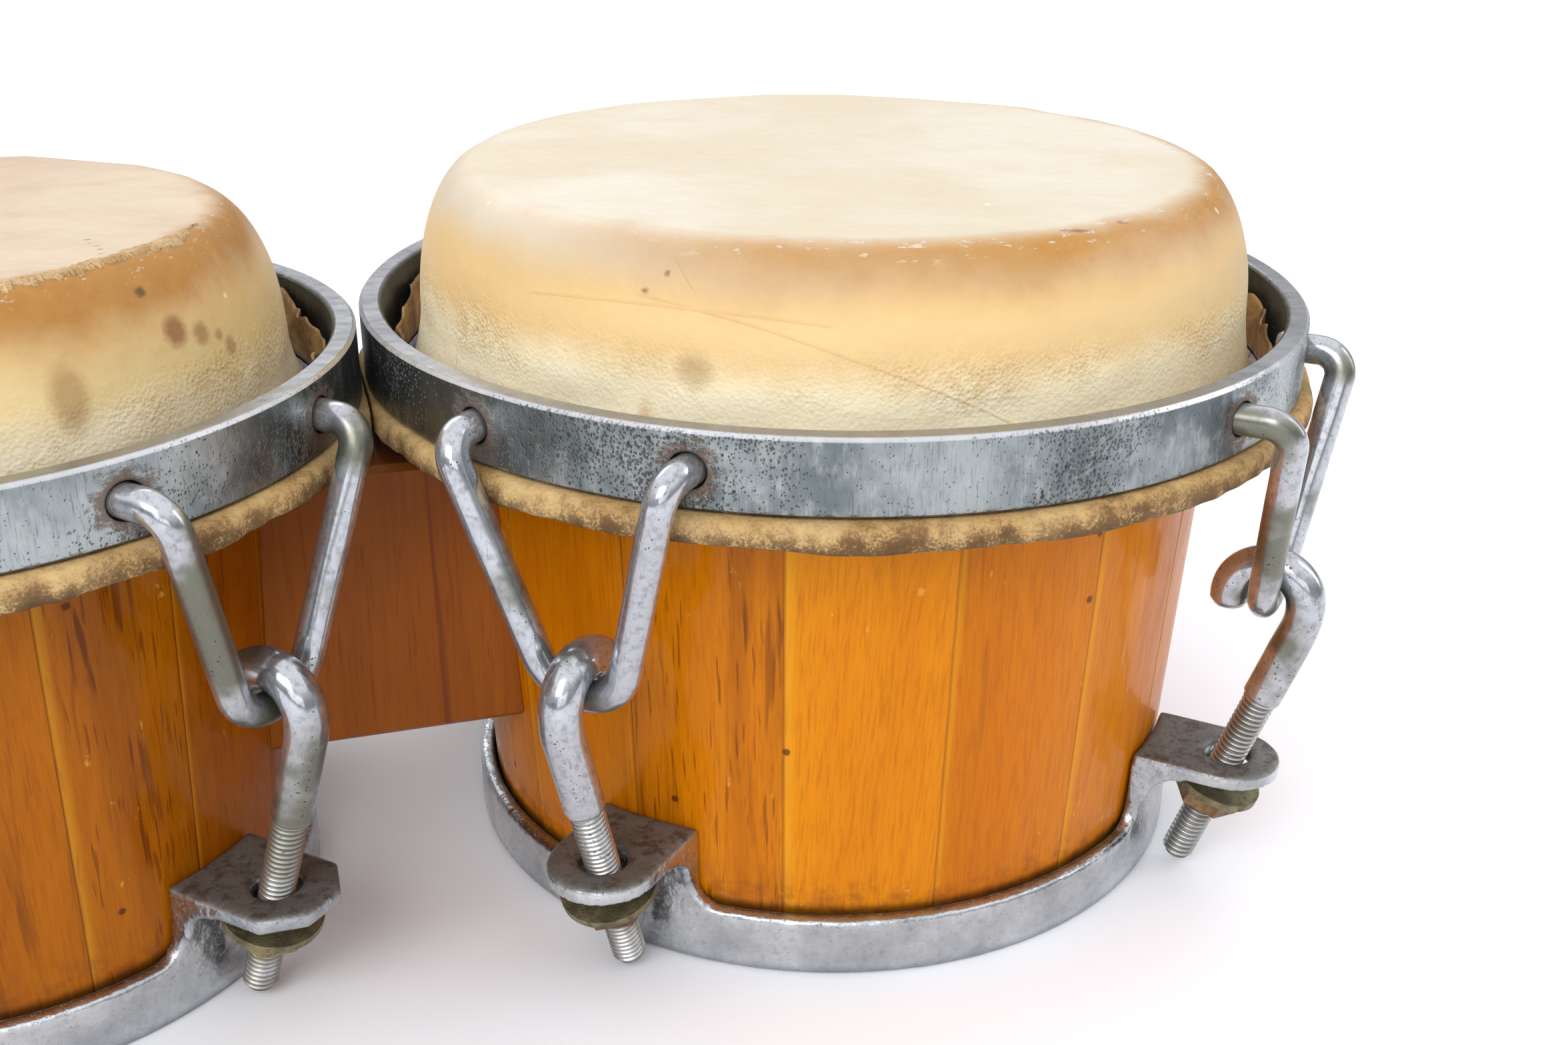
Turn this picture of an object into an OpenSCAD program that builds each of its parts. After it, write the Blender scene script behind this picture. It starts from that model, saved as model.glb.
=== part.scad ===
// Pair of bongo drums, a large one on the right and a small one on the left,
// joined by a wooden centre block. Each drum is a tapered shell of glued staves
// that stands in a metal base ring. Its rawhide head is wrapped round a flesh
// hoop, and a flat metal rim presses on that hoop. Four bails hang from the rim,
// four hook bolts pull on them, and a nut under each lug of the base ring sets
// the tension. The origin is on the floor under the middle of the pair, X runs
// from the small drum to the large one, and Z is up.

/* [Drums] */
// Outer radius of the large drum's rim
right_r = 115; // [108:1:122]
// Outer radius of the small drum's rim
left_r = 94.6; // [90:0.1:100]
// Gap between the two rims
rim_gap = 1.3; // [1:0.1:3]
// Height of the large drum's playing surface
right_head_z = 171.2; // [168:0.2:174]
// Height of the small drum's playing surface
left_head_z = 168; // [166:0.2:172]

/* [Shells] */
// How far the shell lies inside the rim's outer radius at floor level
shell_inset = 26; // [25:0.5:28]
// Slope of the shell's side from vertical, in degrees
shell_taper = 3.2; // [2:0.1:3.6]
// Thickness of the staves
shell_wall = 11; // [9:0.5:12]
// Number of staves in each shell
stave_count = 16; // [16:8:24]
// Glue line between two staves
glue_line = 0.06; // [0.05:0.01:0.2]

/* [Rims] */
// Height of the rim's lower edge above the floor
rim_z = 123.6; // [122:0.2:126]
// Height of the rim's band
rim_h = 16.7; // [15:0.1:18]
// Thickness of the rim's band
rim_t = 5.2; // [4:0.1:6]

/* [Heads] */
// Thickness of the rawhide
skin_t = 1.6; // [1.2:0.1:2]
// Width of the head's round shoulder
shoulder_w = 14.7; // [13:0.1:16]
// Height of the head's round shoulder
shoulder_h = 33; // [28:1:34]
// How far the rolled edge of the skin stands out past the rim
band_out = 3.2; // [2:0.1:3.4]
// Height of the rolled edge below the rim
band_h = 6.7; // [6:0.1:7.5]
// Height of the spare skin that stands inside the rim
tuck_h = 13; // [8:1:15]

/* [Base rings] */
// How far the base ring lies inside the rim's outer radius
base_inset = 21; // [20.5:0.1:21.5]
// Height of the base ring
base_h = 14.7; // [12:0.1:16]
// Thickness of the lip that the shell stands on
base_lip_t = 3; // [2:0.5:4]
// Width of the base ring and its lip
base_lip_w = 14; // [12:1:15]

/* [Lugs] */
// Height of the upper face of the large drum's lug plates
right_plate_z = 35; // [33:0.2:36]
// Height of the upper face of the small drum's lug plates
left_plate_z = 32.6; // [31:0.2:34]
// Thickness of the lug plate
plate_t = 4; // [3:0.5:4.5]
// Width of the lug
lug_w = 25; // [23:1:26]
// How far the middle of a plate's end lies inside the rim's outer radius
lug_end_inset = 4; // [3.5:0.1:4.5]
// How far the holes in the large drum's plates lie inside the rim's outer radius
right_hole_inset = 4; // [3.5:0.1:5]
// How far the holes in the small drum's plates lie inside the rim's outer radius
left_hole_inset = 5; // [3.5:0.1:5]
// Diameter of the lug's hole
lug_hole_d = 11; // [10.5:0.1:12]

/* [Hook bolts, bails and nuts] */
// Tilt of the hook bolt from vertical, in degrees
hook_tilt = 18; // [17:0.5:18]
// Diameter of the hook bolt's shank
hook_d = 9.2; // [8.4:0.1:9.4]
// Diameter of the hook bolt's thread
thread_d = 7.9; // [7.5:0.1:8]
// Height of the thread's upper end
thread_z = 53; // [50:1:58]
// Height of the hook bolt's tip
tip_z = 3; // [2:0.5:9]
// Diameter of the bail's rod
bail_d = 7; // [6.4:0.1:7.2]
// Height of the bail's lowest stretch
bail_z = 78.3; // [78:0.1:80]
// Width of the lug nut across its flats
nut_af = 14.3; // [12.6:0.1:14.4]
// Thickness of the lug nut
nut_h = 5.2; // [4.6:0.1:6.8]
// Diameter of the lug washer
washer_d = 22.2; // [19:0.1:22.4]
// Thickness of the lug washer
washer_t = 1.8; // [1:0.1:2]

/* [Centre block] */
// Width of the block from front to back
block_w = 58; // [50:1:62]
// Height of the block's lower face
block_z0 = 45; // [42:1:48]
// Height of the block's upper face
block_z1 = 113; // [108:1:114]
// Diameter of the two bolts through the block
block_bolt_d = 7.9; // [6:0.1:8]

/* [Hidden] */
$fn = 64;
e = 0.01;

// Lug 1 is at the front right, then 2 rear right, 3 rear left and 4 front left
lug_count = 4;
function lug_angle(i) = -45 + 360 / lug_count * (i - 1);

// Where the drums stand: the overall box is centred on X = 0
spacing = right_r + left_r + rim_gap;
right_x = (spacing - right_r + left_r) / 2;
left_x = right_x - spacing;
mid_x = left_x + left_r + rim_gap / 2;

// Where the two legs of each lug's bail meet the rim, measured along the rim from
// the lug's middle. The rim holes are drilled a little unevenly.
even_legs = [-26.5, 26.5];
right_legs = [[-31.5, 25.5], even_legs, even_legs, [-27, 23.7]];
left_legs = [[-25, 27.6], even_legs, even_legs, even_legs];

// A drum is [X of its axis, outer radius of its rim, height of its head,
// height of its lug plates, inset of its lug holes, places of its bails' legs]
right = [right_x, right_r, right_head_z, right_plate_z, right_hole_inset, right_legs];
left = [left_x, left_r, left_head_z, left_plate_z, left_hole_inset, left_legs];
function axis_x(drum) = drum[0];
function rim_r(drum) = drum[1];
function head_z(drum) = drum[2];
function plate_z(drum) = drum[3];
function plate_mid_z(drum) = plate_z(drum) - plate_t / 2;
function hole_x(drum) = rim_r(drum) - drum[4];
function bail_legs(drum, i) = drum[5][i - 1];

// Clearances
running = 0.05;
skin_gap = 0.35;
band_gap = 0.25;
shell_gap = 0.4;

// Joints between the straights and the bends of a rod
joint_gap = 0.12;
collar_half = 0.4;
collar_extra = 0.06;

// Shell
shell_z0 = base_lip_t;
edge_w = shoulder_w - skin_t - skin_gap;
edge_h = shoulder_h - skin_t - skin_gap;
edge_run = 12.9;
edge_turns = [2:5:62];
stave_turn = 9;
function shell_r(drum, z) = rim_r(drum) - shell_inset + z * tan(shell_taper);
function bore_r(drum, z) = shell_r(drum, z) - shell_wall;
function bearing(drum, turn) = [
  flat_r(drum) + edge_w * sin(turn),
  head_z(drum) - shoulder_h + edge_h * cos(turn)
];

// Rim
rim_top = rim_z + rim_h;
rim_edge = 0.8;
bail_hole_d = bail_d + 0.9;
bail_hole_z = rim_z + rim_h / 2;

// Head
hoop_w = 6.5;
hoop_h = 3.4;
hoop_in = 1.8;
hoop_z = rim_z - band_h + skin_t + 0.1;
flat_inset = 29;
flare_w = 3;
flare_z = rim_z;
tuck_in = 8.8;

// Base ring and lugs
base_edge = 0.8;
web_t = 3.6;
web_gap = 0.5;
rib_t = 3;
rib_r = 9;
web_foot = 6;

// Hook bolt: its axis leans out towards the top, in a plane through the drum's axis
eye_in = 0.5;
crown_r = 8.8;
hook_gap = 0.3;
hook_top_z = bail_z + bail_d / 2 + hook_gap + hook_d / 2;
hook_end_z = 75;
hook_bend_r = 18;
function hook_x(drum, z) = hole_x(drum) + (z - plate_mid_z(drum)) * tan(hook_tilt);

// Bail
bail_out = 6.6;
bail_foot_y = 8.5;
bail_foot_r = 11;
bail_top_r = 5.5;
peg_past = 1.5;

// Washer and nut, square to the hook bolt's axis
washer_gap = 0.1;
washer_bore = thread_d + 1.6;
function washer_z(drum) = plate_z(drum) - plate_t - washer_gap - washer_d / 2 * sin(hook_tilt);

// Centre block and its hardware
block_edge = 1.5;
block_fit = 0.05;
block_bolt_zs = [62, 96];
bolt_hole_d = block_bolt_d + 0.6;
bolt_head_h = 5.5;
plain_washer_d = 18;
plain_washer_t = 1.5;
plain_washer_gap = 0.2;
bolt_past = 4;
bolt_in_head = 1;

// ---------- helpers ----------

function unit(v) = v / norm(v);

// Points on a quarter of an ellipse, from its top to its side
function quarter(cx, cz, a, b, n = 14) =
  [for (k = [0:n]) [cx + a * sin(90 * k / n), cz + b * cos(90 * k / n)]];

function reversed(list) = [for (k = [len(list) - 1:-1:0]) list[k]];

// Puts children in the frame with origin o and axes x, y and z
module in_frame(o, x, y, z) {
  multmatrix([
    [x[0], y[0], z[0], o[0]],
    [x[1], y[1], z[1], o[1]],
    [x[2], y[2], z[2], o[2]],
    [0, 0, 0, 1]
  ]) children();
}

// Round bar from a to b
module bar(a, b, d) {
  z = unit(b - a);
  side = abs(z[0]) < 0.9 ? [1, 0, 0] : [0, 1, 0];
  y = unit(cross(z, side));
  in_frame(a, cross(y, z), y, z) cylinder(h = norm(b - a), d = d);
}

// Round bend at corner p, from direction u to direction v
module bend(p, u, v, r, turn, d) {
  centre = p + unit(v - u) * r / cos(turn / 2);
  x = unit(p - u * r * tan(turn / 2) - centre);
  z = unit(cross(u, v));
  in_frame(centre, x, cross(z, x), z)
    rotate_extrude(angle = turn) translate([r, 0]) circle(d = d);
}

// Bent rod through the corners, with one bend radius for each inner corner.
// A collar a hair thicker than the rod joins each bend to the straights beside it.
module bent_rod(corners, radii, d) {
  last = len(corners) - 1;
  dirs = [for (k = [0:last - 1]) unit(corners[k + 1] - corners[k])];
  turns = [for (k = [1:last - 1]) acos(dirs[k - 1] * dirs[k])];
  trims = [for (k = [0:last]) k == 0 || k == last ? 0 : radii[k - 1] * tan(turns[k - 1] / 2)];
  for (k = [0:last - 1]) {
    from = corners[k] + dirs[k] * (trims[k] + (k > 0 ? joint_gap : 0));
    to = corners[k + 1] - dirs[k] * (trims[k + 1] + (k < last - 1 ? joint_gap : 0));
    if ((to - from) * dirs[k] > 0) bar(from, to, d);
  }
  for (k = [1:last - 1]) {
    bend(corners[k], dirs[k - 1], dirs[k], radii[k - 1], turns[k - 1], d);
    collar(corners[k] - dirs[k - 1] * trims[k], dirs[k - 1], d);
    collar(corners[k] + dirs[k] * trims[k], dirs[k], d);
  }
}

module collar(p, dir, d) {
  bar(p - dir * collar_half, p + dir * collar_half, d + collar_extra);
}

module at_drum(drum) {
  translate([axis_x(drum), 0, 0]) children();
}

// Local X points outwards through the lug, and local Y runs along the rim
module at_lug(drum, i) {
  at_drum(drum) rotate([0, 0, lug_angle(i)]) children();
}

module at_lugs(drum) {
  for (i = [1:lug_count]) at_lug(drum, i) children();
}

// Local Z runs down the hook bolt, from its axis at height z
module on_hook_axis(drum, z) {
  translate([hook_x(drum, z), 0, z]) rotate([0, 180 + hook_tilt, 0]) children();
}

module hex_nut(af, h, bore) {
  difference() {
    cylinder(h = h, d = af / cos(30), $fn = 6);
    translate([0, 0, -1]) cylinder(h = h + 2, d = bore);
  }
}

module washer(d, bore, h) {
  difference() {
    cylinder(h = h, d = d);
    translate([0, 0, -1]) cylinder(h = h + 2, d = bore);
  }
}

// ---------- wooden parts ----------

// Section of the shell: a leaning wall with a bearing edge that follows the head's shoulder
module shell_section(drum) {
  edge_z = head_z(drum) - shoulder_h + edge_run;
  side_r = shell_r(drum, edge_z);
  polygon(concat(
    [[bore_r(drum, shell_z0), shell_z0], [side_r - shell_wall, edge_z]],
    [for (turn = edge_turns) bearing(drum, turn)],
    [[side_r, edge_z], [shell_r(drum, shell_z0), shell_z0]]
  ));
}

module shell(drum) {
  step = 360 / stave_count;
  gap = glue_line / shell_r(drum, 0) * 180 / PI;
  color("chocolate")
    difference() {
      at_drum(drum)
        for (k = [0:stave_count - 1])
          rotate([0, 0, stave_turn + k * step - step / 2 + gap / 2])
            rotate_extrude(angle = step - gap) shell_section(drum);
      block_bolt_holes();
    }
}

module block_bolt_holes() {
  for (z = block_bolt_zs)
    translate([left_x + bore_r(left, z) - 5, 0, z])
      rotate([0, 90, 0])
        cylinder(h = spacing - bore_r(left, z) - bore_r(right, z) + 10, d = bolt_hole_d);
}

module centre_block() {
  half = block_w / 2;
  color("sienna")
    difference() {
      translate([left_x, 0, 0])
        rotate([90, 0, 90])
          linear_extrude(spacing)
            polygon([
              [-half + block_edge, block_z0], [half - block_edge, block_z0],
              [half, block_z0 + block_edge], [half, block_z1 - block_edge],
              [half - block_edge, block_z1], [-half + block_edge, block_z1],
              [-half, block_z1 - block_edge], [-half, block_z0 + block_edge]
            ]);
      for (drum = [left, right])
        at_drum(drum)
          cylinder(h = rim_z, r1 = shell_r(drum, 0) + block_fit, r2 = shell_r(drum, rim_z) + block_fit);
      block_bolt_holes();
    }
}

// ---------- block hardware ----------

// Face of the plain washer inside a shell: it touches the round wall at its edge
function wall_face(drum, z) =
  sqrt(pow(bore_r(drum, z - plain_washer_d / 2), 2) - pow(plain_washer_d / 2, 2)) - plain_washer_gap;
function head_x(z) = left_x + wall_face(left, z) - plain_washer_t;
function nut_x(z) = right_x - wall_face(right, z) + plain_washer_t;

module block_bolts() {
  color("darkgray")
    for (z = block_bolt_zs)
      translate([head_x(z), 0, z]) rotate([0, 90, 0]) {
        translate([0, 0, -bolt_head_h]) cylinder(h = bolt_head_h, d = nut_af / cos(30), $fn = 6);
        translate([0, 0, -bolt_in_head])
          cylinder(h = nut_x(z) + nut_h + bolt_past - head_x(z) + bolt_in_head, d = block_bolt_d);
      }
}

module block_washers() {
  color("silver")
    for (z = block_bolt_zs) {
      translate([head_x(z), 0, z])
        rotate([0, 90, 0]) washer(plain_washer_d, bolt_hole_d, plain_washer_t);
      translate([nut_x(z) - plain_washer_t, 0, z])
        rotate([0, 90, 0]) washer(plain_washer_d, bolt_hole_d, plain_washer_t);
    }
}

module block_nuts() {
  color("darkgray")
    for (z = block_bolt_zs)
      translate([nut_x(z), 0, z])
        rotate([0, 90, 0]) hex_nut(nut_af, nut_h, block_bolt_d + 2 * running);
}

// ---------- base rings and lugs ----------

// Section of the ring: an upright wall round the shell and a lip under it
module base_section(drum) {
  outer = rim_r(drum) - base_inset;
  polygon([
    [outer - base_lip_w, 0], [outer - base_edge, 0], [outer, base_edge], [outer, base_h - base_edge],
    [outer - base_edge, base_h], [shell_r(drum, base_h) + shell_gap, base_h],
    [shell_r(drum, base_lip_t) + shell_gap, base_lip_t], [outer - base_lip_w, base_lip_t]
  ]);
}

// Upright web that follows the shell, with a foot that widens into the ring
module lug_web(drum) {
  top = plate_z(drum) - e;
  intersection() {
    rotate([0, 0, -20]) rotate_extrude(angle = 40)
      polygon([
        [shell_r(drum, base_h / 2) + web_gap, base_h / 2], [shell_r(drum, top) + web_gap, top],
        [shell_r(drum, top) + web_gap + web_t, top],
        [shell_r(drum, base_h / 2) + web_gap + web_t, base_h / 2]
      ]);
    rotate([90, 0, 90]) linear_extrude(rim_r(drum)) web_outline(plate_z(drum));
  }
}

module web_outline(top) {
  foot_z = base_h + web_foot;
  difference() {
    translate([-lug_w / 2 - web_foot, base_h / 2 - 1]) square([lug_w + 2 * web_foot, top]);
    for (side = [-1, 1]) {
      translate([side * (lug_w / 2 + web_foot), foot_z]) circle(r = web_foot);
      translate([side > 0 ? lug_w / 2 : -lug_w / 2 - web_foot - 1, foot_z])
        square([web_foot + 1, top]);
    }
  }
}

// Flat plate with the hole for the hook bolt and a rounded or an eight-sided end
module lug_plate(drum, end_sides) {
  end_x = rim_r(drum) - lug_end_inset;
  inner_x = shell_r(drum, plate_z(drum)) + web_gap + 0.2;
  translate([0, 0, plate_z(drum) - plate_t])
    linear_extrude(plate_t)
      difference() {
        union() {
          translate([inner_x, -lug_w / 2]) square([end_x - inner_x, lug_w]);
          translate([end_x, 0]) rotate([0, 0, 180 / end_sides])
            circle(d = lug_w / cos(180 / end_sides), $fn = end_sides);
        }
        translate([hole_x(drum), 0]) circle(d = lug_hole_d);
      }
}

// Curved rib under each side of the plate
module lug_ribs(drum) {
  under_z = plate_z(drum) - plate_t;
  face_x = shell_r(drum, under_z) + web_gap + web_t - 0.8;
  for (y = [-lug_w / 2, lug_w / 2 - rib_t])
    translate([face_x, y + rib_t, under_z])
      rotate([90, 0, 0])
        linear_extrude(rib_t)
          difference() {
            translate([0, -rib_r]) square([rib_r, rib_r + e]);
            translate([rib_r, -rib_r]) circle(r = rib_r - 0.8);
          }
}

module base_ring(drum, end_sides) {
  color("lightslategray") {
    at_drum(drum) rotate_extrude() base_section(drum);
    at_lugs(drum) {
      lug_web(drum);
      lug_plate(drum, end_sides);
      lug_ribs(drum);
    }
  }
}

module lug_washers(drum) {
  color("darkkhaki")
    at_lugs(drum) on_hook_axis(drum, washer_z(drum)) washer(washer_d, washer_bore, washer_t);
}

// ---------- rim and head ----------

module rim(drum) {
  outer = rim_r(drum);
  color("slategray")
    difference() {
      at_drum(drum)
        rotate_extrude()
          polygon([
            [outer - rim_t, rim_z], [outer - rim_edge, rim_z], [outer, rim_z + rim_edge],
            [outer, rim_top - rim_edge], [outer - rim_edge, rim_top],
            [outer - rim_t + rim_edge, rim_top], [outer - rim_t, rim_top - rim_edge]
          ]);
      for (i = [1:lug_count])
        at_lug(drum, i)
          for (y = bail_legs(drum, i))
            translate([outer / 2, y, bail_hole_z])
              rotate([0, 90, 0]) cylinder(h = outer, d = bail_hole_d);
    }
}

module flesh_hoop(drum) {
  color("gray")
    at_drum(drum)
      rotate_extrude() translate([hoop_r(drum) - hoop_w, hoop_z]) square([hoop_w, hoop_h]);
}

// Section of the skin: flat top, round shoulder, and a side that flares out to the
// flesh hoop. There it passes under the hoop, round it and back over it, and the
// spare skin stands up inside the rim.
module skin_section(drum) {
  z = head_z(drum);
  low = z - shoulder_h;
  side = flat_r(drum) + shoulder_w + flare_w;
  tuck = rim_r(drum) - tuck_in;
  roll = band_h / 2;
  polygon(concat(
    [[0, z]], quarter(flat_r(drum), low, shoulder_w, shoulder_h), flare(drum, side - flare_w),
    [[side, hoop_z - 0.1], [hoop_r(drum) + 0.1, hoop_z - 0.1], [hoop_r(drum) + 0.1, hoop_z + hoop_h + 0.1]],
    [[tuck - skin_t, hoop_z + hoop_h + 0.1], [tuck - skin_t, rim_z + tuck_h], [tuck, rim_z + tuck_h]],
    [[tuck, rim_z]],
    [for (k = [0:12]) rolled_edge(rim_r(drum) + band_out - roll, rim_z - roll, roll, 90 - 15 * k)],
    [[side - skin_t, rim_z - band_h]], reversed(flare(drum, side - flare_w - skin_t)),
    reversed(quarter(flat_r(drum), low, shoulder_w - skin_t, shoulder_h - skin_t)), [[0, z - skin_t]]
  ));
}

// Radius of the head's flat top, and the outer radius of the flesh hoop
function flat_r(drum) = rim_r(drum) - flat_inset;
function hoop_r(drum) = rim_r(drum) - hoop_in;

// Side of the head below its shoulder, starting at radius r
function flare(drum, r, n = 6) =
  [for (k = [1:n])
    [r + flare_w * pow(k / n, 1.6),
     head_z(drum) - shoulder_h + (flare_z - head_z(drum) + shoulder_h) * k / n]];

function rolled_edge(cx, cz, r, angle) = [cx + r * cos(angle), cz + r * sin(angle)];

// The rolled edges of the two heads are squeezed flat where the drums meet
module skin(drum, side) {
  reach = 2 * rim_r(drum) + 20;
  near = mid_x + side * band_gap;
  color("wheat")
    intersection() {
      at_drum(drum) rotate_extrude() skin_section(drum);
      translate([side > 0 ? near : near - reach, -reach / 2, 0]) cube([reach, reach, head_z(drum) + 10]);
    }
}

// ---------- tension hardware ----------

module bail(drum, i) {
  r = rim_r(drum);
  legs = bail_legs(drum, i);
  pegs = [for (y = legs) sqrt(pow(r - rim_t, 2) - pow(y, 2)) - peg_past];
  color("gainsboro")
    at_lug(drum, i)
      bent_rod(
        [
          [pegs[0], legs[0], bail_hole_z], [r + bail_out, legs[0], bail_hole_z],
          [r + eye_in, -bail_foot_y, bail_z], [r + eye_in, bail_foot_y, bail_z],
          [r + bail_out, legs[1], bail_hole_z], [pegs[1], legs[1], bail_hole_z]
        ],
        [bail_top_r, bail_foot_r, bail_foot_r, bail_top_r],
        bail_d
      );
}

module hook(drum, i) {
  outer_x = rim_r(drum) + eye_in + crown_r;
  inner_x = outer_x - 2 * crown_r;
  bend_z = plate_mid_z(drum) + (outer_x - hole_x(drum)) / tan(hook_tilt);
  color("silver")
    at_lug(drum, i) {
      bent_rod(
        [
          [hook_x(drum, thread_z), 0, thread_z], [outer_x, 0, bend_z], [outer_x, 0, hook_top_z],
          [inner_x, 0, hook_top_z], [inner_x, 0, hook_end_z]
        ],
        [hook_bend_r, crown_r, crown_r],
        hook_d
      );
      bar([hook_x(drum, tip_z), 0, tip_z], [hook_x(drum, thread_z + 1), 0, thread_z + 1], thread_d);
    }
}

module nut(drum, i) {
  below = washer_t + washer_gap;
  color("rosybrown")
    at_lug(drum, i)
      on_hook_axis(drum, washer_z(drum))
        translate([0, 0, below]) hex_nut(nut_af, nut_h, thread_d + 2 * running);
}

shell(right);  // right_shell
shell(left);  // left_shell
centre_block();
base_ring(right, 48);  // right_base_ring
base_ring(left, 8);  // left_base_ring
block_bolts();
block_washers();
block_nuts();
lug_washers(right);  // right_lug_washers
lug_washers(left);  // left_lug_washers
rim(right);  // right_rim
rim(left);  // left_rim
flesh_hoop(right);  // right_flesh_hoop
flesh_hoop(left);  // left_flesh_hoop
skin(right, 1);  // right_skin
skin(left, -1);  // left_skin
bail(right, 1);  // right_bail_1
bail(right, 2);  // right_bail_2
bail(right, 3);  // right_bail_3
bail(right, 4);  // right_bail_4
bail(left, 1);  // left_bail_1
bail(left, 2);  // left_bail_2
bail(left, 3);  // left_bail_3
bail(left, 4);  // left_bail_4
hook(right, 1);  // right_hook_1
hook(right, 2);  // right_hook_2
hook(right, 3);  // right_hook_3
hook(right, 4);  // right_hook_4
hook(left, 1);  // left_hook_1
hook(left, 2);  // left_hook_2
hook(left, 3);  // left_hook_3
hook(left, 4);  // left_hook_4
nut(right, 1);  // right_nut_1
nut(right, 2);  // right_nut_2
nut(right, 3);  // right_nut_3
nut(right, 4);  // right_nut_4
nut(left, 1);  // left_nut_1
nut(left, 2);  // left_nut_2
nut(left, 3);  // left_nut_3
nut(left, 4);  // left_nut_4
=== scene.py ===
"""Bongo drums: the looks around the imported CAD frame.

Lengths in the shape functions are in millimetres and become metres in add_piece().
Each drum's own pieces are drawn round its own axis, and stand at the axis of its CAD shell.
"""

import math

import bmesh
import bpy
import numpy as np
from mathutils import Matrix, Vector


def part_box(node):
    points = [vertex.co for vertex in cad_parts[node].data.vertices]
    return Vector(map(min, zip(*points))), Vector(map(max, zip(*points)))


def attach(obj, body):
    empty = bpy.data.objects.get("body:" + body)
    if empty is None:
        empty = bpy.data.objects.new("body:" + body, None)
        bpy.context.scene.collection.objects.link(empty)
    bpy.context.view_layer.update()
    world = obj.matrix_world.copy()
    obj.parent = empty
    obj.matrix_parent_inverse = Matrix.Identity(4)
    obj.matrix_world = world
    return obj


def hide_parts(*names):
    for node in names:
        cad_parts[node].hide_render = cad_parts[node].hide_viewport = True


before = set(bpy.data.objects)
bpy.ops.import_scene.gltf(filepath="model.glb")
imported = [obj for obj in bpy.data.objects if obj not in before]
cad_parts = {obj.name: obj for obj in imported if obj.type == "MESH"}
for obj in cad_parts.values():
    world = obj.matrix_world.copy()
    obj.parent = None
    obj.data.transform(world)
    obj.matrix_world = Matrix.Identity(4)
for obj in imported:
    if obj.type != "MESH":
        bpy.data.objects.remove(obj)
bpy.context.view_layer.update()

MM = 0.001
TAU = 2 * math.pi

# Camera: the photograph's own viewing angle and lens.
CAMERA_AT = (-0.0429, -0.3877, 0.2512)
CAMERA_BACK = (-0.2844, -0.8728, 0.3967)
CAMERA_ROLL = 0.645
CAMERA_LENS = 38.8

# Sizes that both drums share, as in the CAD.
LUG_ANGLES = (-45, 45, 135, -135)
STAVES = 16
STAVE_ANGLE = 360 / STAVES
STAVE_TURN = 9
SHELL_INSET = 26
SHELL_LEAN = 3.2
SHELL_WALL = 11
SHELL_FOOT = 3
RIM_BOTTOM = 123.6
RIM_TOP = 140.3
RIM_WALL = 5.2
HOLE_Z = 131.95
EVEN_LEGS = (-26.5, 26.5)
HOOK_TILT = 18
PLATE_T = 4
PITCH = 1.411
SHANK_R = 4.6
THREAD_R = 3.95
CROWN_R = 8.8
BAIL_R = 3.5
BAIL_OUT = 6.6
BAIL_FOOT_Z = 78.3
EYE_OUT = 0.5
THREAD_END = 52.0
HOOK_BEND = 18
HOOK_GAP = 0.3
HOOK_FOOT_Z = 3.0
HOOK_END_Z = 75.0
BAIL_FOOT_HALF = 8.5
BAIL_BENDS = (5.5, 11, 11, 5.5)
FLAT_INSET = 29
SHOULDER_W = 14.7
SHOULDER_H = 33
SIDE_SPLAY = 3
SKIN_T = 1.6
BEARING_W = 12.75
BEARING_H = 31.05
BEARING_Z = 12.9

# Lugs of each drum: height of the plate's top, inset of its hole, and the bails' legs along the rim.
LUGS = {
    "right": {"plate": 35, "hole": 4, "legs": ((-31.5, 25.5), EVEN_LEGS, EVEN_LEGS, (-27, 23.7))},
    "left": {"plate": 32.6, "hole": 5, "legs": ((-25, 27.6), EVEN_LEGS, EVEN_LEGS, EVEN_LEGS)},
}


def axis_of(side):
    """The drum's axis in millimetres: the middle of its CAD rim."""
    low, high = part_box(side + "_rim")
    return (low.x + high.x) / 2 / MM


def radius_of(side):
    """The rim's outer radius in millimetres."""
    low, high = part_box(side + "_rim")
    return (high.x - low.x) / 2 / MM


def top_of(side):
    """Height of the playing surface in millimetres."""
    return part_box(side + "_skin")[1].z / MM


DRUMS = {
    side: {"x": axis_of(side), "r": radius_of(side), "top": top_of(side)}
    for side in ("right", "left")
}
MID_X = (DRUMS["right"]["x"] - DRUMS["right"]["r"] + DRUMS["left"]["x"] + DRUMS["left"]["r"]) / 2


# ---- shapes


def add_object(name, data):
    """A new object in the scene."""
    made = bpy.data.objects.new(name, data)
    bpy.context.scene.collection.objects.link(made)
    return made


def add_piece(name, points, faces, body, x=0, matrix=None):
    """A mesh piece from points in millimetres: it stands at x, or where its matrix says."""
    mesh = bpy.data.meshes.new(name)
    mesh.from_pydata((np.asarray(points, float) * MM).tolist(), [], faces)
    mesh.polygons.foreach_set("use_smooth", [True] * len(mesh.polygons))
    mesh.update()
    piece = add_object(name, mesh)
    piece.matrix_world = matrix or Matrix.Translation(Vector((x, 0, 0)) * MM)
    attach(piece, body)
    return piece


def grid_faces(rows, columns, wrap_rows, wrap_columns):
    """Quads of a grid of points that is stored row by row."""
    row = np.arange(rows if wrap_rows else rows - 1)
    column = np.arange(columns if wrap_columns else columns - 1)
    i, j = np.meshgrid(row, column, indexing="ij")
    i2, j2 = (i + 1) % rows, (j + 1) % columns
    quads = np.stack([i * columns + j, i * columns + j2, i2 * columns + j2, i2 * columns + j], -1)
    return quads.reshape(-1, 4).tolist()


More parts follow.
